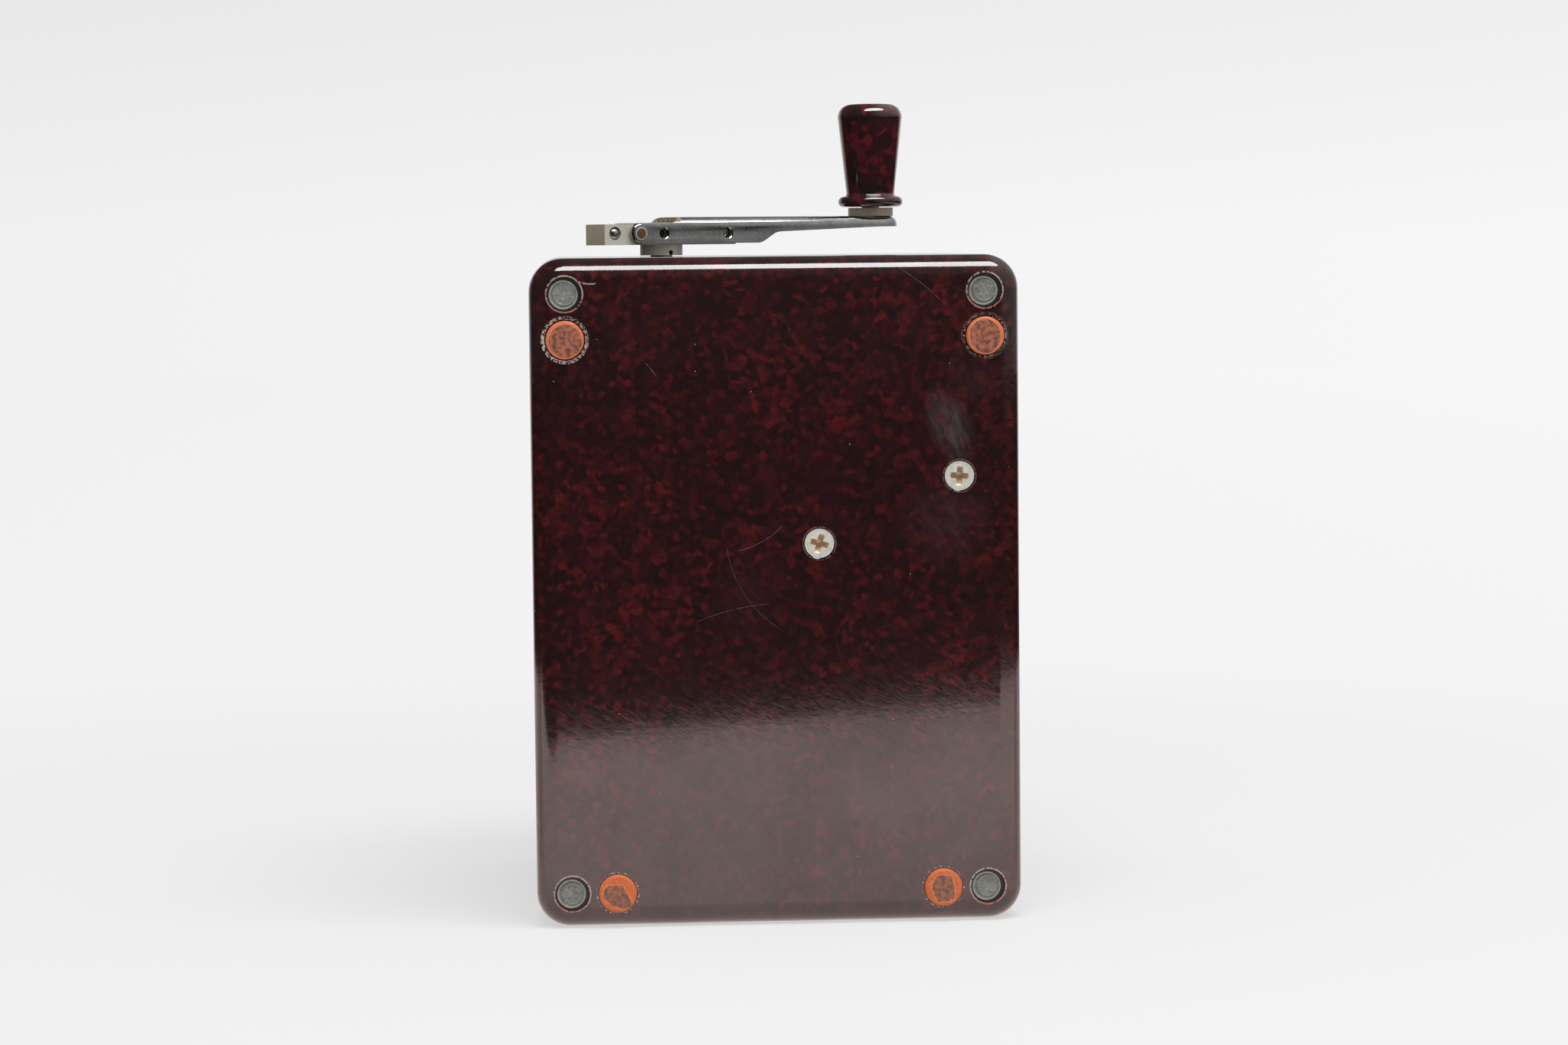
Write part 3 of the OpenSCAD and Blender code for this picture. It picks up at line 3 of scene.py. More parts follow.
import bmesh
import bpy
from mathutils import Matrix, Vector


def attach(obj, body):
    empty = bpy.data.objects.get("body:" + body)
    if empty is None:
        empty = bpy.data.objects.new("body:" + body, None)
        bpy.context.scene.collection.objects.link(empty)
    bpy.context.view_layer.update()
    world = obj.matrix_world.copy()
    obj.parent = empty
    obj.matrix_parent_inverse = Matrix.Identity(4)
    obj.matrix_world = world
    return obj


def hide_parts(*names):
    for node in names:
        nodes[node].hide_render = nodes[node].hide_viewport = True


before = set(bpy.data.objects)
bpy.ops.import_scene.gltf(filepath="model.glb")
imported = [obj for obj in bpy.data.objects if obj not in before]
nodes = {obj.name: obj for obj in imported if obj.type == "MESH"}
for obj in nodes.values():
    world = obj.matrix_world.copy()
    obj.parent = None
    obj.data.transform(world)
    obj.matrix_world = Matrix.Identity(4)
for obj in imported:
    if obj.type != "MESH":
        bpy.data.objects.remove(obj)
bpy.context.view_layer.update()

scene = bpy.context.scene
scene.view_settings.view_transform = "Standard"
MM = 0.001

# Places on the back of the case, across and up from the end it stands on, in millimetres
SEAL_ACROSS, SEAL_UP, HALF_HEIGHT = 53, 76, 85
FEET_HIGH, FEET_LOW = (53, 149.5), (41.5, 9)
FRAME_SCREWS = ((10.6, 97.4), (46.3, 114.1))
BACK_FACE = -56
# Crank shaft across and from the middle of the depth, and the turn of the crank at rest
SHAFT, CRANK_TURN = (-26.5, 20), math.radians(26)
# Fold pin, and the arm's empty detent hole, along the crank and up
FOLD_PIN, DETENT_HOLE = (-9.75, 176.2), (-2.8, 176.2)
# Inner and outer radius of rings round the seals, screws, feet, pin and hole; the seals' well shadow,
# the gap rings and the spot behind the hole are painted shade
SEAL_RIM, SEAL_PRESSED, SEAL_WELL_SHADOW = (4.42, 4.75), (3.3, 3.5), (3.75, 9)
SCREW_GAP_SHADE, SCREW_RIM = (3.6, 4.06), (4.1, 4.26)
FOOT_GAP_SHADE, FOOT_CHIPS, FOOT_SCRAPE = (4.7, 5.1), (5.15, 5.4), (5.2, 5.9)
PIN_RUB, DETENT_HOLE_SHADE = (1.3, 1.5), (0, 1.0)
# Spans over which the crank's looks change: the web's cut end and the hub's sawn ends along the crank,
# the web's underside and the flange's rolled part upwards
WEB_END, HUB_END = (2.9, 2.3), (19.7, 19.9)
WEB_UNDERSIDE, FLANGE_ROLL = (178.9, 179.2), (175.8, 178.8)
# Pointer pivot across and up, and the depth of the dial's face
PIVOT, DIAL_FACE = (-30, 95), 35.8
# Angles between faces that are merged as flat, shaded smooth, or broken by a round
FLAT_ANGLE, SMOOTH_ANGLE, SHARP_ANGLE = math.radians(0.3), math.radians(20), math.radians(40)
# What the eye sees of the surround and the far floor, and how its light grows from one side to the other
PALE, SIDE_TO_SIDE = "#f3f3f3", {"To Min": 0.97, "To Max": 1.04}


def linear(hex_colour):
    """Linear colour from an sRGB hex value."""
    shares = [int(hex_colour[i:i + 2], 16) / 255 for i in (1, 3, 5)]
    return [s / 12.92 if s <= 0.04045 else ((s + 0.055) / 1.055) ** 2.4 for s in shares] + [1]


def per_mm(size):
    """Texture scale whose pattern repeats about every so many millimetres."""
    return 1 / (size * MM)


def add(tree, kind, sockets=(), stops=(), **settings):
    """Adds a node. sockets gives its inputs by name or place: a value, a node or a node's socket."""
    node = tree.nodes.new("ShaderNode" + kind)
    for name, value in settings.items():
        setattr(node, name, value)
    for i, (place, colour) in enumerate(stops):
        band = node.color_ramp.elements
        if i == 0:
            band.remove(band[1])
        stop = band[0] if i == 0 else band.new(place)
        stop.position, stop.color = place, linear(colour)
    shown = [s for s in node.inputs if s.enabled]
    for key, value in sockets.items() if isinstance(sockets, dict) else enumerate(sockets):
        target = node.inputs[key] if isinstance(key, str) else shown[key]
        if isinstance(value, bpy.types.Node):
            value = next(s for s in value.outputs if s.enabled)
        if isinstance(value, bpy.types.NodeSocket):
            tree.links.new(value, target)
        else:
            target.default_value = value
    return node


def times(tree, first, second):
    """Product of two masks or values."""
    return add(tree, "Math", (first, second), operation="MULTIPLY")


def blend(tree, mask, under, over):
    """Colour with another one over it where a mask is."""
    return add(tree, "Mix", (mask, under, over), data_type="RGBA")


def blank(name, **shader_values):
    """New material: its tree, its shader and the piece's own coordinates."""
    finish = bpy.data.materials.new(name)
    finish.use_nodes = True
    tree = finish.node_tree
    tree.nodes.clear()
    shader = add(tree, "BsdfPrincipled", shader_values)
    add(tree, "OutputMaterial", {"Surface": shader})
    return finish, tree, shader, add(tree, "TexCoord").outputs["Object"]


def dress(finish, *names):
    """Gives CAD nodes a material."""
    for name in names:
        nodes[name].data.materials.clear()
        nodes[name].data.materials.append(finish)


def piece(name, shell, body, finish, stands_for=()):
    """Object from a finished shell, shaded smooth up to its sharp edges, that moves with a body."""
    for face in shell.faces:
        face.smooth = True
    for edge in shell.edges:
        edge.smooth = len(edge.link_faces) == 2 and edge.calc_face_angle(0) < SMOOTH_ANGLE
    mesh = bpy.data.meshes.new(name)
    shell.to_mesh(mesh)
    shell.free()
    mesh.materials.append(finish)
    obj = bpy.data.objects.new(name, mesh)
    scene.collection.objects.link(obj)
    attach(obj, body)
    if stands_for:
        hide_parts(*stands_for)


def eased(name, width):
    """Copy of a node's solid with its sharp edges broken by a small round."""
    shell = bmesh.new()
    shell.from_mesh(nodes[name].data)
    bmesh.ops.remove_doubles(shell, verts=shell.verts, dist=0.002 * MM)
    bmesh.ops.dissolve_limit(shell, angle_limit=FLAT_ANGLE, verts=shell.verts, edges=shell.edges)
    sharp = [e for e in shell.edges if len(e.link_faces) == 2 and e.calc_face_angle(0) > SHARP_ANGLE]
    bmesh.ops.bevel(shell, geom=sharp, offset=width * MM, offset_type="OFFSET", affect="EDGES",
                    segments=2, profile=0.5, material=-1, clamp_overlap=True)
    return shell


# Moulded phenolic

def mottled_phenolic(name, granule_size, softness, shades):
    """Wood flour phenolic, compression moulded and buffed with wax: a deep gloss over soft edged
    granules, near black to maroon and red, that ran together in the mould."""
    finish, tree, shader, place = blank(name, **{
        "IOR": 1.42, "Coat Roughness": 0.03, "Coat IOR": 1.68})
    flow = add(tree, "TexNoise", {"Vector": place, "Scale": per_mm(2.6), "Detail": 5, "Roughness": 0.6})
    shift = add(tree, "VectorMath", (flow.outputs["Color"], (0.5, 0.5, 0.5)), operation="SUBTRACT")
    bent = add(tree, "VectorMath", (shift, (2.4 * MM,) * 3, place), operation="MULTIPLY_ADD")
    granule = add(tree, "TexVoronoi", {"Vector": bent, "Scale": per_mm(granule_size),
                                       "Smoothness": softness}, feature="SMOOTH_F1")
    crumb = add(tree, "TexVoronoi", {"Vector": bent, "Scale": per_mm(granule_size * 0.42),
                                     "Smoothness": softness}, feature="SMOOTH_F1")
    share = add(tree, "SeparateColor", (granule.outputs["Color"],))
    fine = add(tree, "SeparateColor", (crumb.outputs["Color"],))
    region = add(tree, "TexNoise", {"Vector": place, "Scale": per_mm(30), "Detail": 3})
    mixed = add(tree, "Mix", (0.24, share, fine), data_type="FLOAT")
    drift = add(tree, "Math", (region, 0.6, -0.3), operation="MULTIPLY_ADD")
    level = add(tree, "Math", (mixed, drift), operation="ADD")
    grain = add(tree, "ValToRGB", (level,), stops=tuple(zip((0.2, 0.4, 0.56, 0.72, 0.94), shades)))
    plum = add(tree, "TexNoise", {"Vector": bent, "Scale": per_mm(9), "Detail": 1})
    plum_mask = add(tree, "MapRange", {"Value": plum, "From Min": 0.5, "From Max": 0.72, "To Max": 0.4})
    colour = blend(tree, plum_mask, grain, linear("#31141d"))
    # Scuffs of 10 mm from wiping that show in the highlights, orange peel from the mould at 1.2 mm
    # drawn out sideways, slow waves of 34 mm in the flat faces, and smudges of 24 mm that take off gloss
    wiping = add(tree, "Mapping", {"Vector": place, "Rotation": (0, math.radians(33), math.radians(20)),
                                   "Scale": (10, 1, 0.25)}, vector_type="TEXTURE")
    scuffs = add(tree, "TexNoise", {"Vector": wiping, "Scale": per_mm(1), "Detail": 2})
    scuffed = add(tree, "MapRange", {"Value": scuffs, "From Min": 0.5, "From Max": 0.68,
                                     "To Min": 0.1, "To Max": 0.18})
    drawn = add(tree, "Mapping", {"Vector": place, "Scale": (2, 2, 0.9)}, vector_type="TEXTURE")
    peel = add(tree, "TexNoise", {"Vector": drawn, "Scale": per_mm(1.2), "Detail": 2})
    smudge = add(tree, "TexNoise", {"Vector": bent, "Scale": per_mm(24), "Detail": 4, "Roughness": 0.6})
    gloss = add(tree, "MapRange", {"Value": smudge, "From Min": 0.4, "From Max": 0.66,
                                   "To Min": 1.0, "To Max": 0.78})
    wave = add(tree, "TexNoise", {"Vector": place, "Scale": per_mm(34), "Detail": 3})
    waved = add(tree, "Bump", {"Height": wave, "Distance": 0.045 * MM, "Strength": 1.0})
    scored = add(tree, "Bump", {"Height": scuffed, "Distance": 0.016 * MM, "Strength": 1.0,
                                "Normal": waved})
    skin = add(tree, "Bump", {"Height": peel, "Distance": 0.0034 * MM, "Strength": 1.0,
                              "Normal": scored})
    # Dust caught in the wax
    dust = add(tree, "TexVoronoi", {"Vector": place, "Scale": per_mm(5)})
    speck = add(tree, "MapRange", {"Value": dust, "From Min": 0.036, "From Max": 0.018, "To Max": 0.7})
    lonely = add(tree, "SeparateColor", (dust.outputs["Color"],))
    chosen = add(tree, "Math", (lonely, 0.6), operation="GREATER_THAN")
    marks = times(tree, speck, chosen)
    colour = blend(tree, marks, colour, linear("#b9aaa6"))
    for socket, value in (("Base Color", colour.outputs[2]), ("Roughness", scuffed.outputs[0]),
                          ("Coat Weight", gloss.outputs[0]), ("Normal", skin.outputs[0]),
                          ("Coat Normal", skin.outputs[0])):
        tree.links.new(value, shader.inputs[socket])
    return finish, tree, shader, place, colour


def ring_round(tree, across, up, centre, inner, outer, soft):
    """Mask of a ring about a centre across and up, with its radii and soft edge, all in millimetres."""
    run = add(tree, "CombineXYZ", (across, up, 0.0))
    gap = add(tree, "VectorMath", (run, (centre[0] * MM, centre[1] * MM, 0)), operation="DISTANCE")
    inside = add(tree, "MapRange", {"Value": gap.outputs["Value"], "From Min": (inner - soft) * MM,
                                    "From Max": inner * MM})
    outside = add(tree, "MapRange", {"Value": gap.outputs["Value"], "From Min": (outer + soft) * MM,
                                     "From Max": outer * MM})
    return times(tree, inside, outside)


def from_nearest_seal(tree, axes):
    """Distances across and up from the middle of the nearest seal."""
    side = add(tree, "Math", (axes.outputs["X"],), operation="SIGN")
    across = add(tree, "Math", (side, -SEAL_ACROSS * MM, axes.outputs["X"]), operation="MULTIPLY_ADD")
    level = add(tree, "Math", (axes.outputs["Z"], HALF_HEIGHT * MM), operation="SUBTRACT")
    end = add(tree, "Math", (level,), operation="SIGN")
    return across, add(tree, "Math", (end, -SEAL_UP * MM, level), operation="MULTIPLY_ADD")


# The case has its own marks: chipped rims, worn rings, scratches, wiped patches with a painted
# reflection, and painted shade in the gaps round the screws and feet
case_finish, tree, shader, place, colour = mottled_phenolic(
    "mottled_phenolic_case", granule_size=1.7, softness=0.55,
    shades=("#231414", "#291515", "#321617", "#3e1818", "#511b1a"))
axes = add(tree, "SeparateXYZ", (place,))
mirrored = add(tree, "Math", (axes.outputs["X"],), operation="ABSOLUTE")
chip = add(tree, "TexNoise", {"Vector": place, "Scale": per_mm(0.7), "Detail": 3})
broken = add(tree, "MapRange", {"Value": chip, "From Min": 0.38, "From Max": 0.5, "To Max": 0.9})
sparse = add(tree, "MapRange", {"Value": chip, "From Min": 0.54, "From Max": 0.62, "To Max": 0.9})
# Wiped, greasy patches, paler and greyer, with a painted soft reflection in them: centre across and up,
# half sizes, lean, strength and shade
for across, up, half_across, half_up, lean, most, shade in (
        (44, 127, 6, 12, 22, 0.68, "#5c5256"), (43, 103, 13, 13, 40, 0.8, "#412a31"),
        (50, 139, 8, 9, 0, 0.5, "#3d2a2e"), (-8, 84, 16, 10, 60, 0.45, "#3c222b")):
    spot = add(tree, "Mapping", {"Vector": place, "Location": (across * MM, 0, up * MM),
                                 "Rotation": (0, math.radians(-lean), 0),
                                 "Scale": (half_across * MM, 1, half_up * MM)}, vector_type="TEXTURE")
    flat = add(tree, "VectorMath", (spot, (1, 0, 1)), operation="MULTIPLY")
    off = add(tree, "VectorMath", (flat,), operation="LENGTH")
    inside = add(tree, "MapRange", {"Value": off.outputs["Value"], "From Min": 1.0, "From Max": 0.25})
    drawn = add(tree, "VectorMath", (flat, (half_across, 0, half_up * 0.25)), operation="MULTIPLY")
    wiped = add(tree, "TexNoise", {"Vector": drawn, "Scale": 0.7, "Detail": 5})
    film = add(tree, "MapRange", {"Value": wiped, "From Min": 0.28, "From Max": 0.74, "To Max": most})
    # Greasy wipe with a painted soft reflection: a paler, greyer patch in the colour
    grease_and_reflection = times(tree, inside, film)
    colour = blend(tree, grease_and_reflection, colour, linear(shade))
# Long scratches, each an arc: its centre, radius and width, the middle and reach of the part that shows
for centre, radius, width, middle, length, shade in (
        ((16, 100.4), 29.1, 0.1, (-6.5, 86), 13.5, "#57453f"),
        ((2, 22.4), 60, 0.11, (-11.6, 80), 10.5, "#59473f"),
        ((-14.6, 117.5), 22.2, 0.11, (-4.3, 98.3), 7.2, "#66544e"),
        ((1.5, 117.8), 57.3, 0.09, (36.8, 162.8), 6.6, "#655450"),
        ((-46.4, 171.5), 8, 0.3, (-47.2, 163.8), 2.4, "#a6979a"),
        ((-60, 120), 36, 0.1, (-31.2, 142), 2.3, "#776763")):
    arc = ring_round(tree, axes.outputs["X"], axes.outputs["Z"], centre, radius - width / 2,
                     radius + width / 2, soft=0.05)
    part = ring_round(tree, axes.outputs["X"], axes.outputs["Z"], middle, 0, length * 0.8,
                      soft=length * 0.2)
    scratch = times(tree, arc, part)
    scratch = times(tree, scratch, broken)
    colour = blend(tree, scratch, colour, linear(shade))
# Chipped rims of the wells, with bits of orange filler at the bottom, and of the screw holes, each
# with painted shade in the gap inside it
seal_x, seal_z = from_nearest_seal(tree, axes)
low = add(tree, "MapRange", {"Value": seal_z, "From Min": -1 * MM, "From Max": -4 * MM, "To Max": 1.6})
bits = add(tree, "MapRange", {"Value": chip, "From Min": 0.5, "From Max": 0.58})
filler = add(tree, "Math", (bits, low), operation="MULTIPLY", use_clamp=True)
rim_shade = blend(tree, filler, linear("#a89389"), linear("#b4552f"))
rim = ring_round(tree, seal_x, seal_z, (0, 0), *SEAL_RIM, soft=0.1)
rim = times(tree, rim, broken)
colour = blend(tree, rim, colour, rim_shade)
for spot in FRAME_SCREWS:
    # Painted shade: a dark ring in the gap round the screw head
    dark = ring_round(tree, axes.outputs["X"], axes.outputs["Z"], spot, *SCREW_GAP_SHADE, soft=0.04)
    colour = blend(tree, dark, colour, linear("#120b0a"))
    rim = ring_round(tree, axes.outputs["X"], axes.outputs["Z"], spot, *SCREW_RIM, soft=0.04)
    rim = times(tree, rim, broken)
    colour = blend(tree, rim, colour, linear("#80605b"))
# Pockets of the feet: painted shade in the gap round each foot, pale chips, and a scraped ring round the
# upper ones, worst at left
grain = add(tree, "TexNoise", {"Vector": place, "Scale": per_mm(0.65), "Detail": 2})
speckled = add(tree, "MapRange", {"Value": grain, "From Min": 0.45, "From Max": 0.54})
scraped = blend(tree, speckled, linear("#3d3335"), linear("#cfc4ba"))
slant = add(tree, "Math", (axes.outputs["X"], axes.outputs["Z"]), operation="ADD")
side = add(tree, "MapRange", {"Value": slant, "From Min": 0.088, "From Max": 0.105,
                              "To Min": 0.95, "To Max": 0.3})
far = add(tree, "MapRange", {"Value": axes.outputs["X"], "From Min": -0.02, "From Max": 0.02,
                             "To Min": 1, "To Max": 0.35})
worn = ring_round(tree, mirrored, axes.outputs["Z"], FEET_HIGH, *FOOT_SCRAPE, soft=0.25)
for share in (side, far):
    worn = times(tree, worn, share)
colour = blend(tree, worn, colour, scraped)
for spot in (FEET_HIGH, FEET_LOW):
    chips = ring_round(tree, mirrored, axes.outputs["Z"], spot, *FOOT_CHIPS, soft=0.1)
    chips = times(tree, chips, sparse)
    colour = blend(tree, chips, colour, linear("#c9b9ad"))
    # Painted shade: a near black ring in the gap round the foot
    pocket_shade = ring_round(tree, mirrored, axes.outputs["Z"], spot, *FOOT_GAP_SHADE, soft=0.1)
    colour = blend(tree, pocket_shade, colour, linear("#0b0707"))
tree.links.new(colour.outputs[2], shader.inputs["Base Color"])
knob_finish = mottled_phenolic(
    "mottled_phenolic_knob", granule_size=2.4, softness=0.4,
    shades=("#26191a", "#2e1b1c", "#3c1b1f", "#501d21", "#691f22"))[0]
dress(case_finish, "case_tub")
dress(knob_finish, "crank_knob", "front_panel")


# Metals

def worked_metal(name, hex_colour, stain, roughness, grit, run=(1, 1, 1), depth=0.002, stain_size=6,
                 metallic=1.0):
    """Bare or plated metal: fine tool marks of a given grit in millimetres, drawn out by run along the
    crank, across it and upwards, with dull stains between. A dull oxide skin makes it less metallic."""
    finish, tree, shader, place = blank(name, Metallic=metallic)
    place = add(tree, "Mapping", {"Vector": place, "Location": (SHAFT[0] * MM, SHAFT[1] * MM, 0),
                                  "Rotation": (0, 0, CRANK_TURN)}, vector_type="TEXTURE")
    stretched = add(tree, "Mapping", {"Vector": place, "Scale": run}, vector_type="TEXTURE")
    marks = add(tree, "TexNoise", {"Vector": stretched, "Scale": per_mm(grit), "Detail": 3})
    cloud = add(tree, "TexNoise", {"Vector": place, "Scale": per_mm(stain_size), "Detail": 4})
    dull = add(tree, "MapRange", {"Value": cloud, "From Min": 0.45, "From Max": 0.75, "To Max": 0.7})
    colour = blend(tree, dull, linear(hex_colour), linear(stain))
    rough = add(tree, "MapRange", {"Value": marks, "From Min": 0.3, "From Max": 0.7,
                                   "To Min": roughness * 0.75, "To Max": roughness * 1.3})
    relief = add(tree, "Bump", {"Height": marks, "Distance": depth * MM, "Strength": 1.0})
    for socket, value in (("Base Color", colour.outputs[2]), ("Roughness", rough.outputs[0]),
                          ("Normal", relief.outputs[0])):
        tree.links.new(value, shader.inputs[socket])
    return finish, tree, shader, place, colour


# Nickel plate on pressed steel: mirror like, with polishing lines up the flange and long scratches,
# brown where the plate is worn off the web's cut end, rubbed round the pin, the flange rolled at its top
nickel_plate, tree, shader, place, colour = worked_metal(
    "nickel_plated_steel", "#bfc1bf", "#94938b", roughness=0.13, grit=0.3, run=(1, 1, 8))
axes = add(tree, "SeparateXYZ", (place,))
cut_end = add(tree, "MapRange", {"Value": axes.outputs["X"], "From Min": WEB_END[0] * MM,
                                 "From Max": WEB_END[1] * MM})
upper = add(tree, "MapRange", {"Value": axes.outputs["Z"], "From Min": WEB_UNDERSIDE[0] * MM,
                               "From Max": WEB_UNDERSIDE[1] * MM})
bare = times(tree, cut_end, upper)
colour = blend(tree, bare, colour, linear("#7d6c58"))
plated = add(tree, "Math", (1.0, bare), operation="SUBTRACT")
for lean, run, least, most in ((38, 4, 0.62, 0.6), (-50, 2.5, 0.64, 0.7), (80, 3, 0.6, 0.35)):
    slanted = add(tree, "Mapping", {"Vector": place, "Rotation": (0, math.radians(lean), 0),
                                    "Scale": (run, 1, 0.12)}, vector_type="TEXTURE")
    scored = add(tree, "TexNoise", {"Vector": slanted, "Scale": per_mm(1)})
    score = add(tree, "MapRange", {"Value": scored, "From Min": least, "From Max": least + 0.05,
                                   "To Max": most})
    colour = blend(tree, score, colour, linear("#f4f4f1"))
rubbed = ring_round(tree, axes.outputs["X"], axes.outputs["Z"], FOLD_PIN, *PIN_RUB, soft=0.4)
colour = blend(tree, rubbed, colour, linear("#dfdcd3"))
tree.links.new(colour.outputs[2], shader.inputs["Base Color"])
domed = add(tree, "MapRange", {"Value": axes.outputs["Z"], "From Min": FLANGE_ROLL[0] * MM,
                               "From Max": FLANGE_ROLL[1] * MM})
domed = add(tree, "Math", (domed, 2.0), operation="POWER")
skin = shader.inputs["Normal"].links[0].from_socket
bulge = add(tree, "Bump", {"Height": domed, "Distance": 0.08 * MM, "Strength": 1.0, "Normal": skin},
            invert=True)
tree.links.new(bulge.outputs[0], shader.inputs["Normal"])
dulled = add(tree, "Math", (rubbed, -0.6, plated), operation="MULTIPLY_ADD", use_clamp=True)
tree.links.new(dulled.outputs[0], shader.inputs["Metallic"])
# Die cast zinc, plated and rubbed dull: pale with soft reflections, the sawn ends brown,
# and painted shade on the hub where it shows through the empty detent hole
plated_zinc, tree, shader, place, colour = worked_metal(
    "plated_zinc_casting", "#e0ddcf", "#beb6a2", roughness=0.4, grit=0.35, depth=0.004, metallic=0.3)
axes = add(tree, "SeparateXYZ", (place,))
outer = add(tree, "Math", (axes.outputs["X"],), operation="ABSOLUTE")
sawn = add(tree, "MapRange", {"Value": outer, "From Min": HUB_END[0] * MM,
                              "From Max": HUB_END[1] * MM, "To Max": 0.85})
saw_run = add(tree, "Mapping", {"Vector": place, "Scale": (1, 1, 30)}, vector_type="TEXTURE")
teeth = add(tree, "TexNoise", {"Vector": saw_run, "Scale": per_mm(0.5), "Detail": 2})
umber = blend(tree, teeth, linear("#c4b49c"), linear("#94836c"))
colour = blend(tree, sawn, colour, umber)
# Painted shade: a dark spot on the hub seen through the empty detent hole
hole_shade = ring_round(tree, axes.outputs["X"], axes.outputs["Z"], DETENT_HOLE, *DETENT_HOLE_SHADE, soft=0.35)
colour = blend(tree, hole_shade, colour, linear("#2a2520"))
tree.links.new(colour.outputs[2], shader.inputs["Base Color"])
# Zinc plate on steel: creamy silver with a soft grain, ochre dirt down in the cross recess
zinc_plate, tree, shader, place, colour = worked_metal(
    "zinc_plated_steel", "#dddcd3", "#bfbcae", roughness=0.34, grit=0.16, depth=0.006, stain_size=1,
    metallic=0.3)
axes = add(tree, "SeparateXYZ", (add(tree, "TexCoord").outputs["Object"],))
sunk = add(tree, "MapRange", {"Value": axes.outputs["Y"], "From Min": (BACK_FACE + 0.25) * MM,
                              "From Max": (BACK_FACE + 0.5) * MM})
colour = blend(tree, sunk, colour, linear("#d8c09a"))
tree.links.new(colour.outputs[2], shader.inputs["Base Color"])
bright = add(tree, "MapRange", {"Value": sunk, "To Min": 0.3, "To Max": 0.6})
tree.links.new(bright.outputs[0], shader.inputs["Metallic"])
# Bright turned steel with a fine lathe grain
turned_steel = worked_metal(
    "turned_steel", "#c4c4c1", "#98958e", roughness=0.26, grit=0.25, run=(12, 12, 1), depth=0.02)[0]
# Blackened steel: oily dark oxide
black_steel = worked_metal("blackened_steel", "#4a4743", "#2d2a28", roughness=0.4, grit=0.4)[0]
# Copper rich bronze, browned by handling
bronze = worked_metal("bronze", "#b07f5f", "#7a5742", roughness=0.35, grit=0.3, stain_size=3)[0]
# Rolled and turned brass, gone slightly dull
brass = worked_metal("brass", "#c7a65c", "#9a7d48", roughness=0.3, grit=0.35, run=(3, 3, 1))[0]
# Stack of stamped silicon steel sheets: dark, with the edges of 0.6 mm sheets as fine lines
laminated_iron = worked_metal(
    "laminated_iron", "#6a6765", "#4a4340", roughness=0.5, grit=0.6, run=(20, 20, 1), depth=0.02)[0]
# Cast magnet alloy: dark grey, slightly grainy
magnet_alloy = worked_metal(
    "cast_magnet_alloy", "#5c5c60", "#434347", roughness=0.45, grit=0.5, depth=0.006)[0]
# Drawn aluminium can: pale and satin
drawn_aluminium = worked_metal(
    "drawn_aluminium", "#b9bab8", "#979893", roughness=0.34, grit=0.4, run=(10, 1, 1))[0]
# Enamelled copper wire wound in layers: 0.5 mm turns as ridges
copper_winding = worked_metal(
    "enamelled_copper_winding", "#a8643a", "#74402a", roughness=0.38, grit=0.5, run=(1, 1, 10),
    depth=0.03)[0]

dress(nickel_plate, "crank_arm")
dress(plated_zinc, "crank_hub", "axle_bush")
dress(zinc_plate, "frame_screws")
dress(turned_steel, "case_screws", "panel_pillars", "generator_frame", "core_screws", "gear_screws",
      "meter_screws", "movement_screws", "jewel_screws", "crank_shaft", "lay_shaft", "rotor_shaft",
      "spindle", "knob_axle", "detent_balls", "detent_springs", "lay_pinion", "rotor_pinion",
      "glass_frame")
dress(black_steel, "hub_grub_screw", "shaft_circlip", "meter_frame")
dress(bronze, "crank_bush", "shaft_bushes", "pivot_pin")
dress(brass, "gear_plate", "gear_bridge", "bridge_pillars", "core_spacers", "drive_gear", "lay_gear",
      "meter_bridges", "terminal_posts", "terminal_nuts", "board_spacers")
dress(laminated_iron, "stator_core", "pole_pieces", "iron_core")
dress(magnet_alloy, "meter_magnet", "rotor_magnet")
dress(drawn_aluminium, "capacitors")
dress(copper_winding, "stator_coil", "moving_coils")


# Plastics, rubber, enamel and glass

def plain_stuff(name, hex_colour, shade, roughness, grain, depth, ior=1.5):
    """Non metal with a cloudy colour and a grain of a given size in millimetres."""
    finish, tree, shader, place = blank(name, Roughness=roughness, IOR=ior)
    cloud = add(tree, "TexNoise", {"Vector": place, "Scale": per_mm(grain * 5), "Detail": 4})
    grit = add(tree, "TexNoise", {"Vector": place, "Scale": per_mm(grain), "Detail": 2})
    mixed = add(tree, "Mix", (0.5, cloud, grit), data_type="FLOAT")
    spread = add(tree, "MapRange", {"Value": mixed, "From Min": 0.35, "From Max": 0.65})
    colour = blend(tree, spread, linear(hex_colour), linear(shade))
    relief = add(tree, "Bump", {"Height": grit, "Distance": depth * MM, "Strength": 1.0})
    tree.links.new(colour.outputs[2], shader.inputs["Base Color"])
    tree.links.new(relief.outputs[0], shader.inputs["Normal"])
    return finish, tree, shader, place, colour


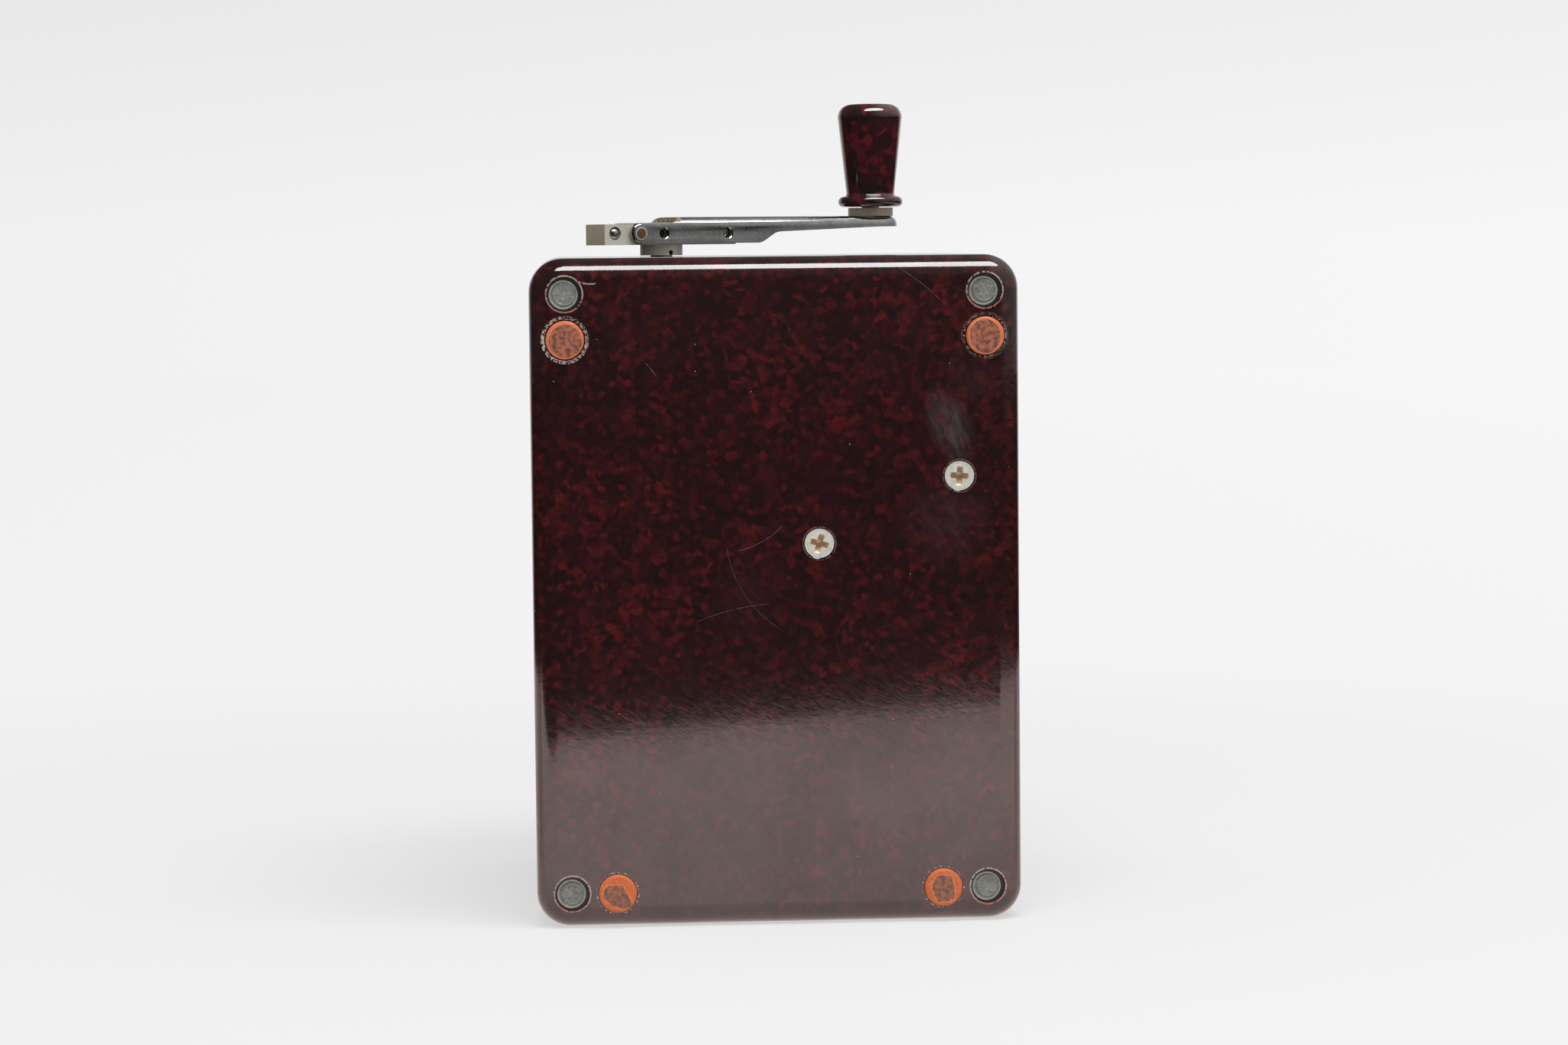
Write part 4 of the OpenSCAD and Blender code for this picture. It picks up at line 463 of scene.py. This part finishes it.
# Sealing compound, pressed in warm and set hard: dull grey with pits and rubbed spots, and a painted
# shadow of the well's wall
sealing_compound, tree, shader, place, colour = plain_stuff(
    "sealing_compound", "#989a93", "#6d6f6a", roughness=0.36, grain=0.4, depth=0.1)
seal_x, seal_z = from_nearest_seal(tree, add(tree, "SeparateXYZ", (place,)))
rubs = add(tree, "TexNoise", {"Vector": place, "Scale": per_mm(0.8), "Detail": 3})
rubbed = add(tree, "MapRange", {"Value": rubs, "From Min": 0.58, "From Max": 0.68, "To Max": 0.7})
colour = blend(tree, rubbed, colour, linear("#b9bbb4"))
off_centre = (-0.25, -0.15)
pressed = ring_round(tree, seal_x, seal_z, off_centre, *SEAL_PRESSED, soft=0.12)
pressed = times(tree, pressed, rubs)
colour = blend(tree, pressed, colour, linear("#d3d4cd"))
# Painted shadow of the well's wall: a darker outer ring, widest at the upper right
well_shadow = ring_round(tree, seal_x, seal_z, off_centre, *SEAL_WELL_SHADOW, soft=0.15)
colour = blend(tree, well_shadow, colour, linear("#2c2d2a"))
tree.links.new(colour.outputs[2], shader.inputs["Base Color"])
# Paper and resin laminate, brown and slightly glossy
board_laminate = plain_stuff(
    "paper_laminate", "#6a4a22", "#573a19", roughness=0.4, grain=0.8, depth=0.004)[0]
# Black moulded rectifier cases with a matt skin
rectifier_case = plain_stuff(
    "rectifier_moulding", "#262626", "#1b1b1b", roughness=0.5, grain=0.4, depth=0.004)[0]
# Brown stoved lacquer over ceramic
resistor_lacquer = plain_stuff(
    "stoved_lacquer", "#6b3527", "#532619", roughness=0.25, grain=0.5, depth=0.003)[0]
# Woven cotton sleeve over wire, 0.4 mm braid
cotton_sleeve = plain_stuff(
    "cotton_sleeve", "#b8a983", "#94845f", roughness=0.85, grain=0.4, depth=0.06)[0]
# Stoved white enamel on sheet metal, aged to cream
dial_enamel = plain_stuff(
    "cream_enamel", "#e6e2d3", "#dcd6c2", roughness=0.35, grain=3, depth=0.001)[0]
# Matt black paint on the pointer
pointer_black = plain_stuff(
    "matt_black_enamel", "#141414", "#1c1c1c", roughness=0.5, grain=0.5, depth=0.001)[0]
# Black printing ink on the dial, with a slight starved grain
printing_ink = plain_stuff(
    "printing_ink", "#191817", "#2a2826", roughness=0.55, grain=0.3, depth=0.0005)[0]
# Moulded urea caps, one red and one black, glossy with a faint flow
red_urea = plain_stuff(
    "red_urea_moulding", "#7a1c16", "#681611", roughness=0.22, grain=2, depth=0.001, ior=1.55)[0]
black_urea = plain_stuff(
    "black_urea_moulding", "#1a1a1b", "#222122", roughness=0.22, grain=2, depth=0.001, ior=1.55)[0]

# Red rubber, pressed in: bright orange at the rim, tops peeled and dirty in brown patches
orange_rubber, tree, shader, place, colour = plain_stuff(
    "orange_rubber", "#d8713f", "#c05c30", roughness=0.6, grain=0.6, depth=0.02)
axes = add(tree, "SeparateXYZ", (place,))
mirrored = add(tree, "Math", (axes.outputs["X"],), operation="ABSOLUTE")
torn = add(tree, "TexNoise", {"Vector": place, "Scale": per_mm(6.5), "Detail": 5})
grime = add(tree, "TexNoise", {"Vector": place, "Scale": per_mm(1.1), "Detail": 5})
fouled = add(tree, "MapRange", {"Value": grime, "From Min": 0.4, "From Max": 0.62})
proud = add(tree, "MapRange", {"Value": axes.outputs["Y"], "From Min": (BACK_FACE - 0.9) * MM,
                               "From Max": (BACK_FACE - 1.1) * MM})
for spot, off_centre, radius, ragged, worn, dirt in (
        (FEET_HIGH, (0, -0.2), 4.15, 2.0, "#a9634b", "#5d372c"),
        (FEET_LOW, (0.2, -0.5), 3.5, 6.5, "#9c6450", "#664a40")):
    run = add(tree, "CombineXYZ", (mirrored, axes.outputs["Z"], 0.0))
    middle = ((spot[0] + off_centre[0]) * MM, (spot[1] + off_centre[1]) * MM, 0)
    gap = add(tree, "VectorMath", (run, middle), operation="DISTANCE")
    edge = add(tree, "Math", (torn, ragged * MM, gap.outputs["Value"]), operation="MULTIPLY_ADD")
    rim = (radius + ragged / 2) * MM
    patch = add(tree, "MapRange", {"Value": edge, "From Min": rim, "From Max": rim - 0.25 * MM,
                                   "To Max": 0.95})
    patch = times(tree, patch, proud)
    brown = blend(tree, fouled, linear(worn), linear(dirt))
    colour = blend(tree, patch, colour, brown)
    lip = add(tree, "MapRange", {"Value": edge, "From Min": rim + 0.3 * MM, "From Max": rim,
                                 "To Max": 0.3})
    outer = add(tree, "MapRange", {"Value": edge, "From Min": rim - 0.2 * MM, "From Max": rim})
    lip = times(tree, lip, outer)
    colour = blend(tree, lip, colour, linear("#eda27c"))
tree.links.new(colour.outputs[2], shader.inputs["Base Color"])

# Window glass: clear, with a faint smear in its gloss
window_glass, tree, shader, place = blank("window_glass", **{
    "Base Color": linear("#f4faf8"), "Transmission Weight": 1.0, "IOR": 1.52})
smear = add(tree, "TexNoise", {"Vector": place, "Scale": per_mm(18), "Detail": 3})
film = add(tree, "MapRange", {"Value": smear, "From Min": 0.4, "From Max": 0.8, "To Max": 0.06})
tree.links.new(film.outputs[0], shader.inputs["Roughness"])

dress(sealing_compound, "seal_plugs")
dress(orange_rubber, "rubber_feet")
dress(board_laminate, "circuit_board")
dress(rectifier_case, "rectifiers")
dress(resistor_lacquer, "resistors")
dress(cotton_sleeve, "hookup_wires")
dress(dial_enamel, "dial_plate")
dress(pointer_black, "pointer")
dress(red_urea, "terminal_cap_line")
dress(black_urea, "terminal_cap_earth")
dress(window_glass, "window_glass")

# Worked edges that catch the light
piece("arm_pressing", eased("crank_arm", width=0.15), "arm", nickel_plate, ["crank_arm"])
piece("hub_casting", eased("crank_hub", width=0.25), "crank", plated_zinc, ["crank_hub"])
piece("screw_heads", eased("frame_screws", width=0.2), "case", zinc_plate,
      ["frame_screws"])

# Plain impression in each seal: a raised ring with dots inside it
STAMP_DEPTH, STAMP_RING, STAMP_WIRE = 1.6, 2.7, 0.28
DOTS, DOT_RING, DOT_RADIUS = 6, 1.45, 0.42
stamp = bmesh.new()
for across in (-SEAL_ACROSS, SEAL_ACROSS):
    for up in (HALF_HEIGHT - SEAL_UP, HALF_HEIGHT + SEAL_UP):
        centre = Vector((across, BACK_FACE + STAMP_DEPTH, up)) * MM
        rim = Matrix.Translation(centre + Vector((STAMP_RING * MM, 0, 0)))
        wire = bmesh.ops.create_circle(stamp, segments=8, radius=STAMP_WIRE * MM, matrix=rim)["verts"]
        edges = list(dict.fromkeys(e for v in wire for e in v.link_edges))
        bmesh.ops.spin(stamp, geom=wire + edges, cent=centre, axis=(0, 1, 0), angle=math.tau, steps=40,
                       use_merge=True)
        for i in range(DOTS):
            turn = math.tau * i / DOTS
            spot = centre + Vector((math.cos(turn), 0, math.sin(turn))) * DOT_RING * MM
            flattened = Matrix.Translation(spot) @ Matrix.Diagonal((1, 0.5, 1, 1))
            bmesh.ops.create_icosphere(stamp, subdivisions=2, radius=DOT_RADIUS * MM, matrix=flattened)
bmesh.ops.remove_doubles(stamp, verts=stamp.verts, dist=0.001 * MM)
bmesh.ops.recalc_face_normals(stamp, faces=stamp.faces)
piece("seal_impressions", stamp, "case", sealing_compound)

# Scale printed on the dial: two arcs, graduations and plain numbers, read with the crank to the right.
# It reaches as many degrees to either side, an arc has a radius and a width, a mark a length and a width
PRINT_HEIGHT = 0.03
SCALE_REACH, SCALE_ARCS, ARC_STEPS = 38, ((55.0, 0.35), (49.0, 0.25)), 72
GRADUATIONS, LONG_EVERY, MARK_FOOT = 40, 5, 50
LONG_MARK, SHORT_MARK = (5.0, 0.4), (3.0, 0.22)
NUMBERS = ("0", "1", "2", "5", "10", "20", "50", "100", "200")
NUMBER_RADIUS, NUMBER_SIZE = 45.5, 5
mark_step = 2 * SCALE_REACH / GRADUATIONS
ink = bmesh.new()
pivot = Vector((PIVOT[0], DIAL_FACE + PRINT_HEIGHT, PIVOT[1])) * MM
first_mark = Matrix.Rotation(math.radians(SCALE_REACH), 3, "Y")
for radius, width in SCALE_ARCS:
    ends = [ink.verts.new(pivot + first_mark @ Vector((r * MM, 0, 0))) for r in (radius, radius + width)]
    bar = ink.edges.new(ends)
    bmesh.ops.spin(ink, geom=ends + [bar], cent=pivot, axis=(0, 1, 0),
                   angle=math.radians(-2 * SCALE_REACH), steps=ARC_STEPS)
laid_flat = Matrix.Rotation(math.radians(-90), 4, "X")
for i in range(GRADUATIONS + 1):
    length, width = SHORT_MARK if i % LONG_EVERY else LONG_MARK
    turn = Matrix.Rotation(math.radians(SCALE_REACH - mark_step * i), 4, "Y")
    outward = Matrix.Translation(((MARK_FOOT + length / 2) * MM, 0, 0))
    shape = Matrix.Translation(pivot) @ turn @ outward @ laid_flat @ Matrix.Diagonal(
        (length * MM, width * MM, 1, 1))
    bmesh.ops.create_grid(ink, x_segments=1, y_segments=1, size=0.5, matrix=shape)
upright = Matrix(((0, 1, 0, 0), (0, 0, 1, 0), (1, 0, 0, 0), (0, 0, 0, 1)))
for i, number in enumerate(NUMBERS):
    letters = bpy.data.curves.new("dial_number", "FONT")
    letters.body, letters.size = number, NUMBER_SIZE * MM
    letters.align_x, letters.align_y = "CENTER", "CENTER"
    holder = bpy.data.objects.new("dial_number", letters)
    scene.collection.objects.link(holder)
    flat = holder.to_mesh()
    turn = Matrix.Rotation(math.radians(SCALE_REACH - LONG_EVERY * mark_step * i), 4, "Y")
    outward = Matrix.Translation((NUMBER_RADIUS * MM, 0, 0))
    flat.transform(Matrix.Translation(pivot) @ turn @ outward @ upright)
    ink.from_mesh(flat)
    holder.to_mesh_clear()
    bpy.data.objects.remove(holder)
bmesh.ops.recalc_face_normals(ink, faces=ink.faces)
for face in ink.faces:
    if face.normal.y < 0:
        face.normal_flip()
piece("dial_print", ink, "case", printing_ink)

# Stage: pale floor that fades into a pale surround
floor_finish = bpy.data.materials.new("pale_floor")
floor_finish.use_nodes = True
tree = floor_finish.node_tree
tree.nodes.clear()
place = add(tree, "TexCoord").outputs["Object"]
seen = add(tree, "LightPath")
paper = add(tree, "BsdfDiffuse", {"Color": linear("#dadada")})
axes = add(tree, "SeparateXYZ", (place,))
sideways = add(tree, "MapRange", {"Value": axes.outputs["X"], "From Min": -0.8, "From Max": 1.2,
                                  **SIDE_TO_SIDE})
glow = add(tree, "Emission", {"Color": linear(PALE), "Strength": sideways})
reach = add(tree, "VectorMath", (place,), operation="LENGTH")
fade = add(tree, "MapRange", {"Value": reach.outputs["Value"], "From Min": 0.15, "From Max": 0.6,
                             "To Min": 0.62}, interpolation_type="SMOOTHSTEP")
far = times(tree, fade, seen.outputs["Is Camera Ray"])
shown = add(tree, "MixShader", (far, paper, glow))
# In reflections the sheet's lit part ends on a slant in front, with a soft step beyond its edge
EDGE_SLANT, EDGE_AHEAD = -0.52, 0.458
slanted = times(tree, axes.outputs["X"], EDGE_SLANT)
ahead = add(tree, "Math", (slanted, axes.outputs["Y"]), operation="SUBTRACT")
edge = add(tree, "MapRange", {"Value": ahead, "From Min": EDGE_AHEAD, "From Max": 0.446,
                              "To Max": 0.82})
beyond = add(tree, "MapRange", {"Value": ahead, "From Min": 0.49, "From Max": EDGE_AHEAD,
                                "To Max": 0.18})
lit = add(tree, "Math", (edge, beyond), operation="ADD")
close = add(tree, "MapRange", {"Value": reach.outputs["Value"], "From Min": 0.64, "From Max": 0.58})
near = times(tree, lit, close)
# Darker by the case's foot and beside it, where the case keeps the light off, with a paler backdrop
# straight behind
foot = add(tree, "MapRange", {"Value": axes.outputs["Y"], "From Min": -0.26, "From Max": -0.07,
                              "To Min": 1, "To Max": 0.84})
beside = add(tree, "MapRange", {"Value": axes.outputs["Y"], "From Min": -0.02, "From Max": -0.09,
                                "To Min": 0.55, "To Max": 1})
for share in (foot, beside):
    near = times(tree, near, share)
turned_away = add(tree, "Math", (axes.outputs["Y"], reach.outputs["Value"]), operation="DIVIDE")
backdrop = add(tree, "MapRange", {"Value": turned_away, "From Min": 0.6, "From Max": 0.88,
                                  "To Max": 0.5})
sheet_seen = add(tree, "Math", (near, backdrop), operation="MAXIMUM")
FLOOR_BRIGHTNESS, FLOOR_RADIUS = 1.38, 4.0
sheet_seen = times(tree, sheet_seen, FLOOR_BRIGHTNESS)
mirrored_floor = add(tree, "Emission", {"Color": linear("#ffebe7"), "Strength": sheet_seen})
either = add(tree, "Math", (seen.outputs["Is Glossy Ray"], seen.outputs["Is Transmission Ray"]),
             operation="MAXIMUM")
surface = add(tree, "MixShader", (either, shown, mirrored_floor))
add(tree, "OutputMaterial", {"Surface": surface})
sheet = bmesh.new()
bmesh.ops.create_circle(sheet, cap_ends=True, segments=64, radius=FLOOR_RADIUS)
floor_mesh = bpy.data.meshes.new("floor")
sheet.to_mesh(floor_mesh)
sheet.free()
floor_mesh.materials.append(floor_finish)
floor = bpy.data.objects.new("floor", floor_mesh)
scene.collection.objects.link(floor)

# Surround: pale to the eye, and in reflections a dim room that is lighter to the right, high up on
# that side, and low down behind the case
world = bpy.data.worlds.new("studio")
scene.world = world
world.use_nodes = True
tree = world.node_tree
tree.nodes.clear()
seen = add(tree, "LightPath")
ray = add(tree, "SeparateXYZ", (add(tree, "TexCoord").outputs["Generated"],))
window_side = add(tree, "MapRange", {"Value": ray.outputs["X"], "From Min": -0.2, "From Max": 0.7,
                                     "To Min": 0.03, "To Max": 0.205})
ahead = add(tree, "MapRange", {"Value": ray.outputs["Y"], "From Min": -0.98, "From Max": -0.7,
                               "To Min": 0.2})
dim = times(tree, window_side, ahead)
behind = add(tree, "MapRange", {"Value": ray.outputs["Y"], "From Min": 0.6, "From Max": 0.88,
                                "To Max": 0.6})
low_down = add(tree, "MapRange", {"Value": ray.outputs["Z"], "From Min": 0.45, "From Max": 0.2})
behind = times(tree, behind, low_down)
high = add(tree, "MapRange", {"Value": ray.outputs["Z"], "From Min": 0.0, "From Max": 0.8,
                              "To Max": 0.32})
right_hand = add(tree, "MapRange", {"Value": ray.outputs["X"], "From Min": 0.06, "From Max": 0.34})
bounced = add(tree, "Math", (high, right_hand, behind), operation="MULTIPLY_ADD")
room = add(tree, "Math", (dim, bounced), operation="ADD")
FILL_LIGHT = 0.6
level = add(tree, "Mix", (seen.outputs["Is Glossy Ray"], FILL_LIGHT, room), data_type="FLOAT")
ambient = add(tree, "Background", {"Color": linear("#ffffff"), "Strength": level})
sideways = add(tree, "MapRange", {"Value": ray.outputs["X"], "From Min": -0.2, "From Max": 0.3,
                                  **SIDE_TO_SIDE})
upwards = add(tree, "MapRange", {"Value": ray.outputs["Z"], "From Min": 0, "From Max": 0.12,
                                 "To Min": 1, "To Max": 0.86})
seen_level = times(tree, sideways, upwards)
pale = add(tree, "Background", {"Color": linear(PALE), "Strength": seen_level})
surround = add(tree, "MixShader", (seen.outputs["Is Camera Ray"], ambient, pale))
add(tree, "OutputWorld", {"Surface": surround})


def softbox(name, place, target, width, height, watts):
    """Soft oval lamp turned towards a point."""
    lamp = bpy.data.lights.new(name, "AREA")
    lamp.shape, lamp.size, lamp.size_y, lamp.energy = "ELLIPSE", width, height, watts
    holder = bpy.data.objects.new(name, lamp)
    holder.location = place
    holder.rotation_euler = (Vector(target) - Vector(place)).to_track_quat("-Z", "Y").to_euler()
    holder.visible_camera = False
    scene.collection.objects.link(holder)


softbox("overhead_softbox", place=(0.21, -0.458, 1.355), target=(0.04, 0, 0.15), width=1.36,
        height=0.58, watts=16)

# Camera at the photograph's place, fitted to the seals, feet and screws
CAMERA_PLACE, SENSOR_WIDTH, LENS = (-0.05316, -0.99985, 0.17368), 36, 86.13
yaw, pitch, roll = 0.0580154, 0.0747971, 0.0099077
ahead = Vector((math.sin(yaw) * math.cos(pitch), math.cos(yaw) * math.cos(pitch), -math.sin(pitch)))
right = Vector((math.cos(yaw), -math.sin(yaw), 0))
down = ahead.cross(right)
tilted_right = math.cos(roll) * right + math.sin(roll) * down
tilted_down = math.cos(roll) * down - math.sin(roll) * right
camera = bpy.data.objects.new("camera", bpy.data.cameras.new("camera"))
camera.data.sensor_width, camera.data.lens = SENSOR_WIDTH, LENS
camera.matrix_world = Matrix.Translation(CAMERA_PLACE) @ Matrix(
    (tilted_right, -tilted_down, -ahead)).transposed().to_4x4()
scene.collection.objects.link(camera)
scene.camera = camera
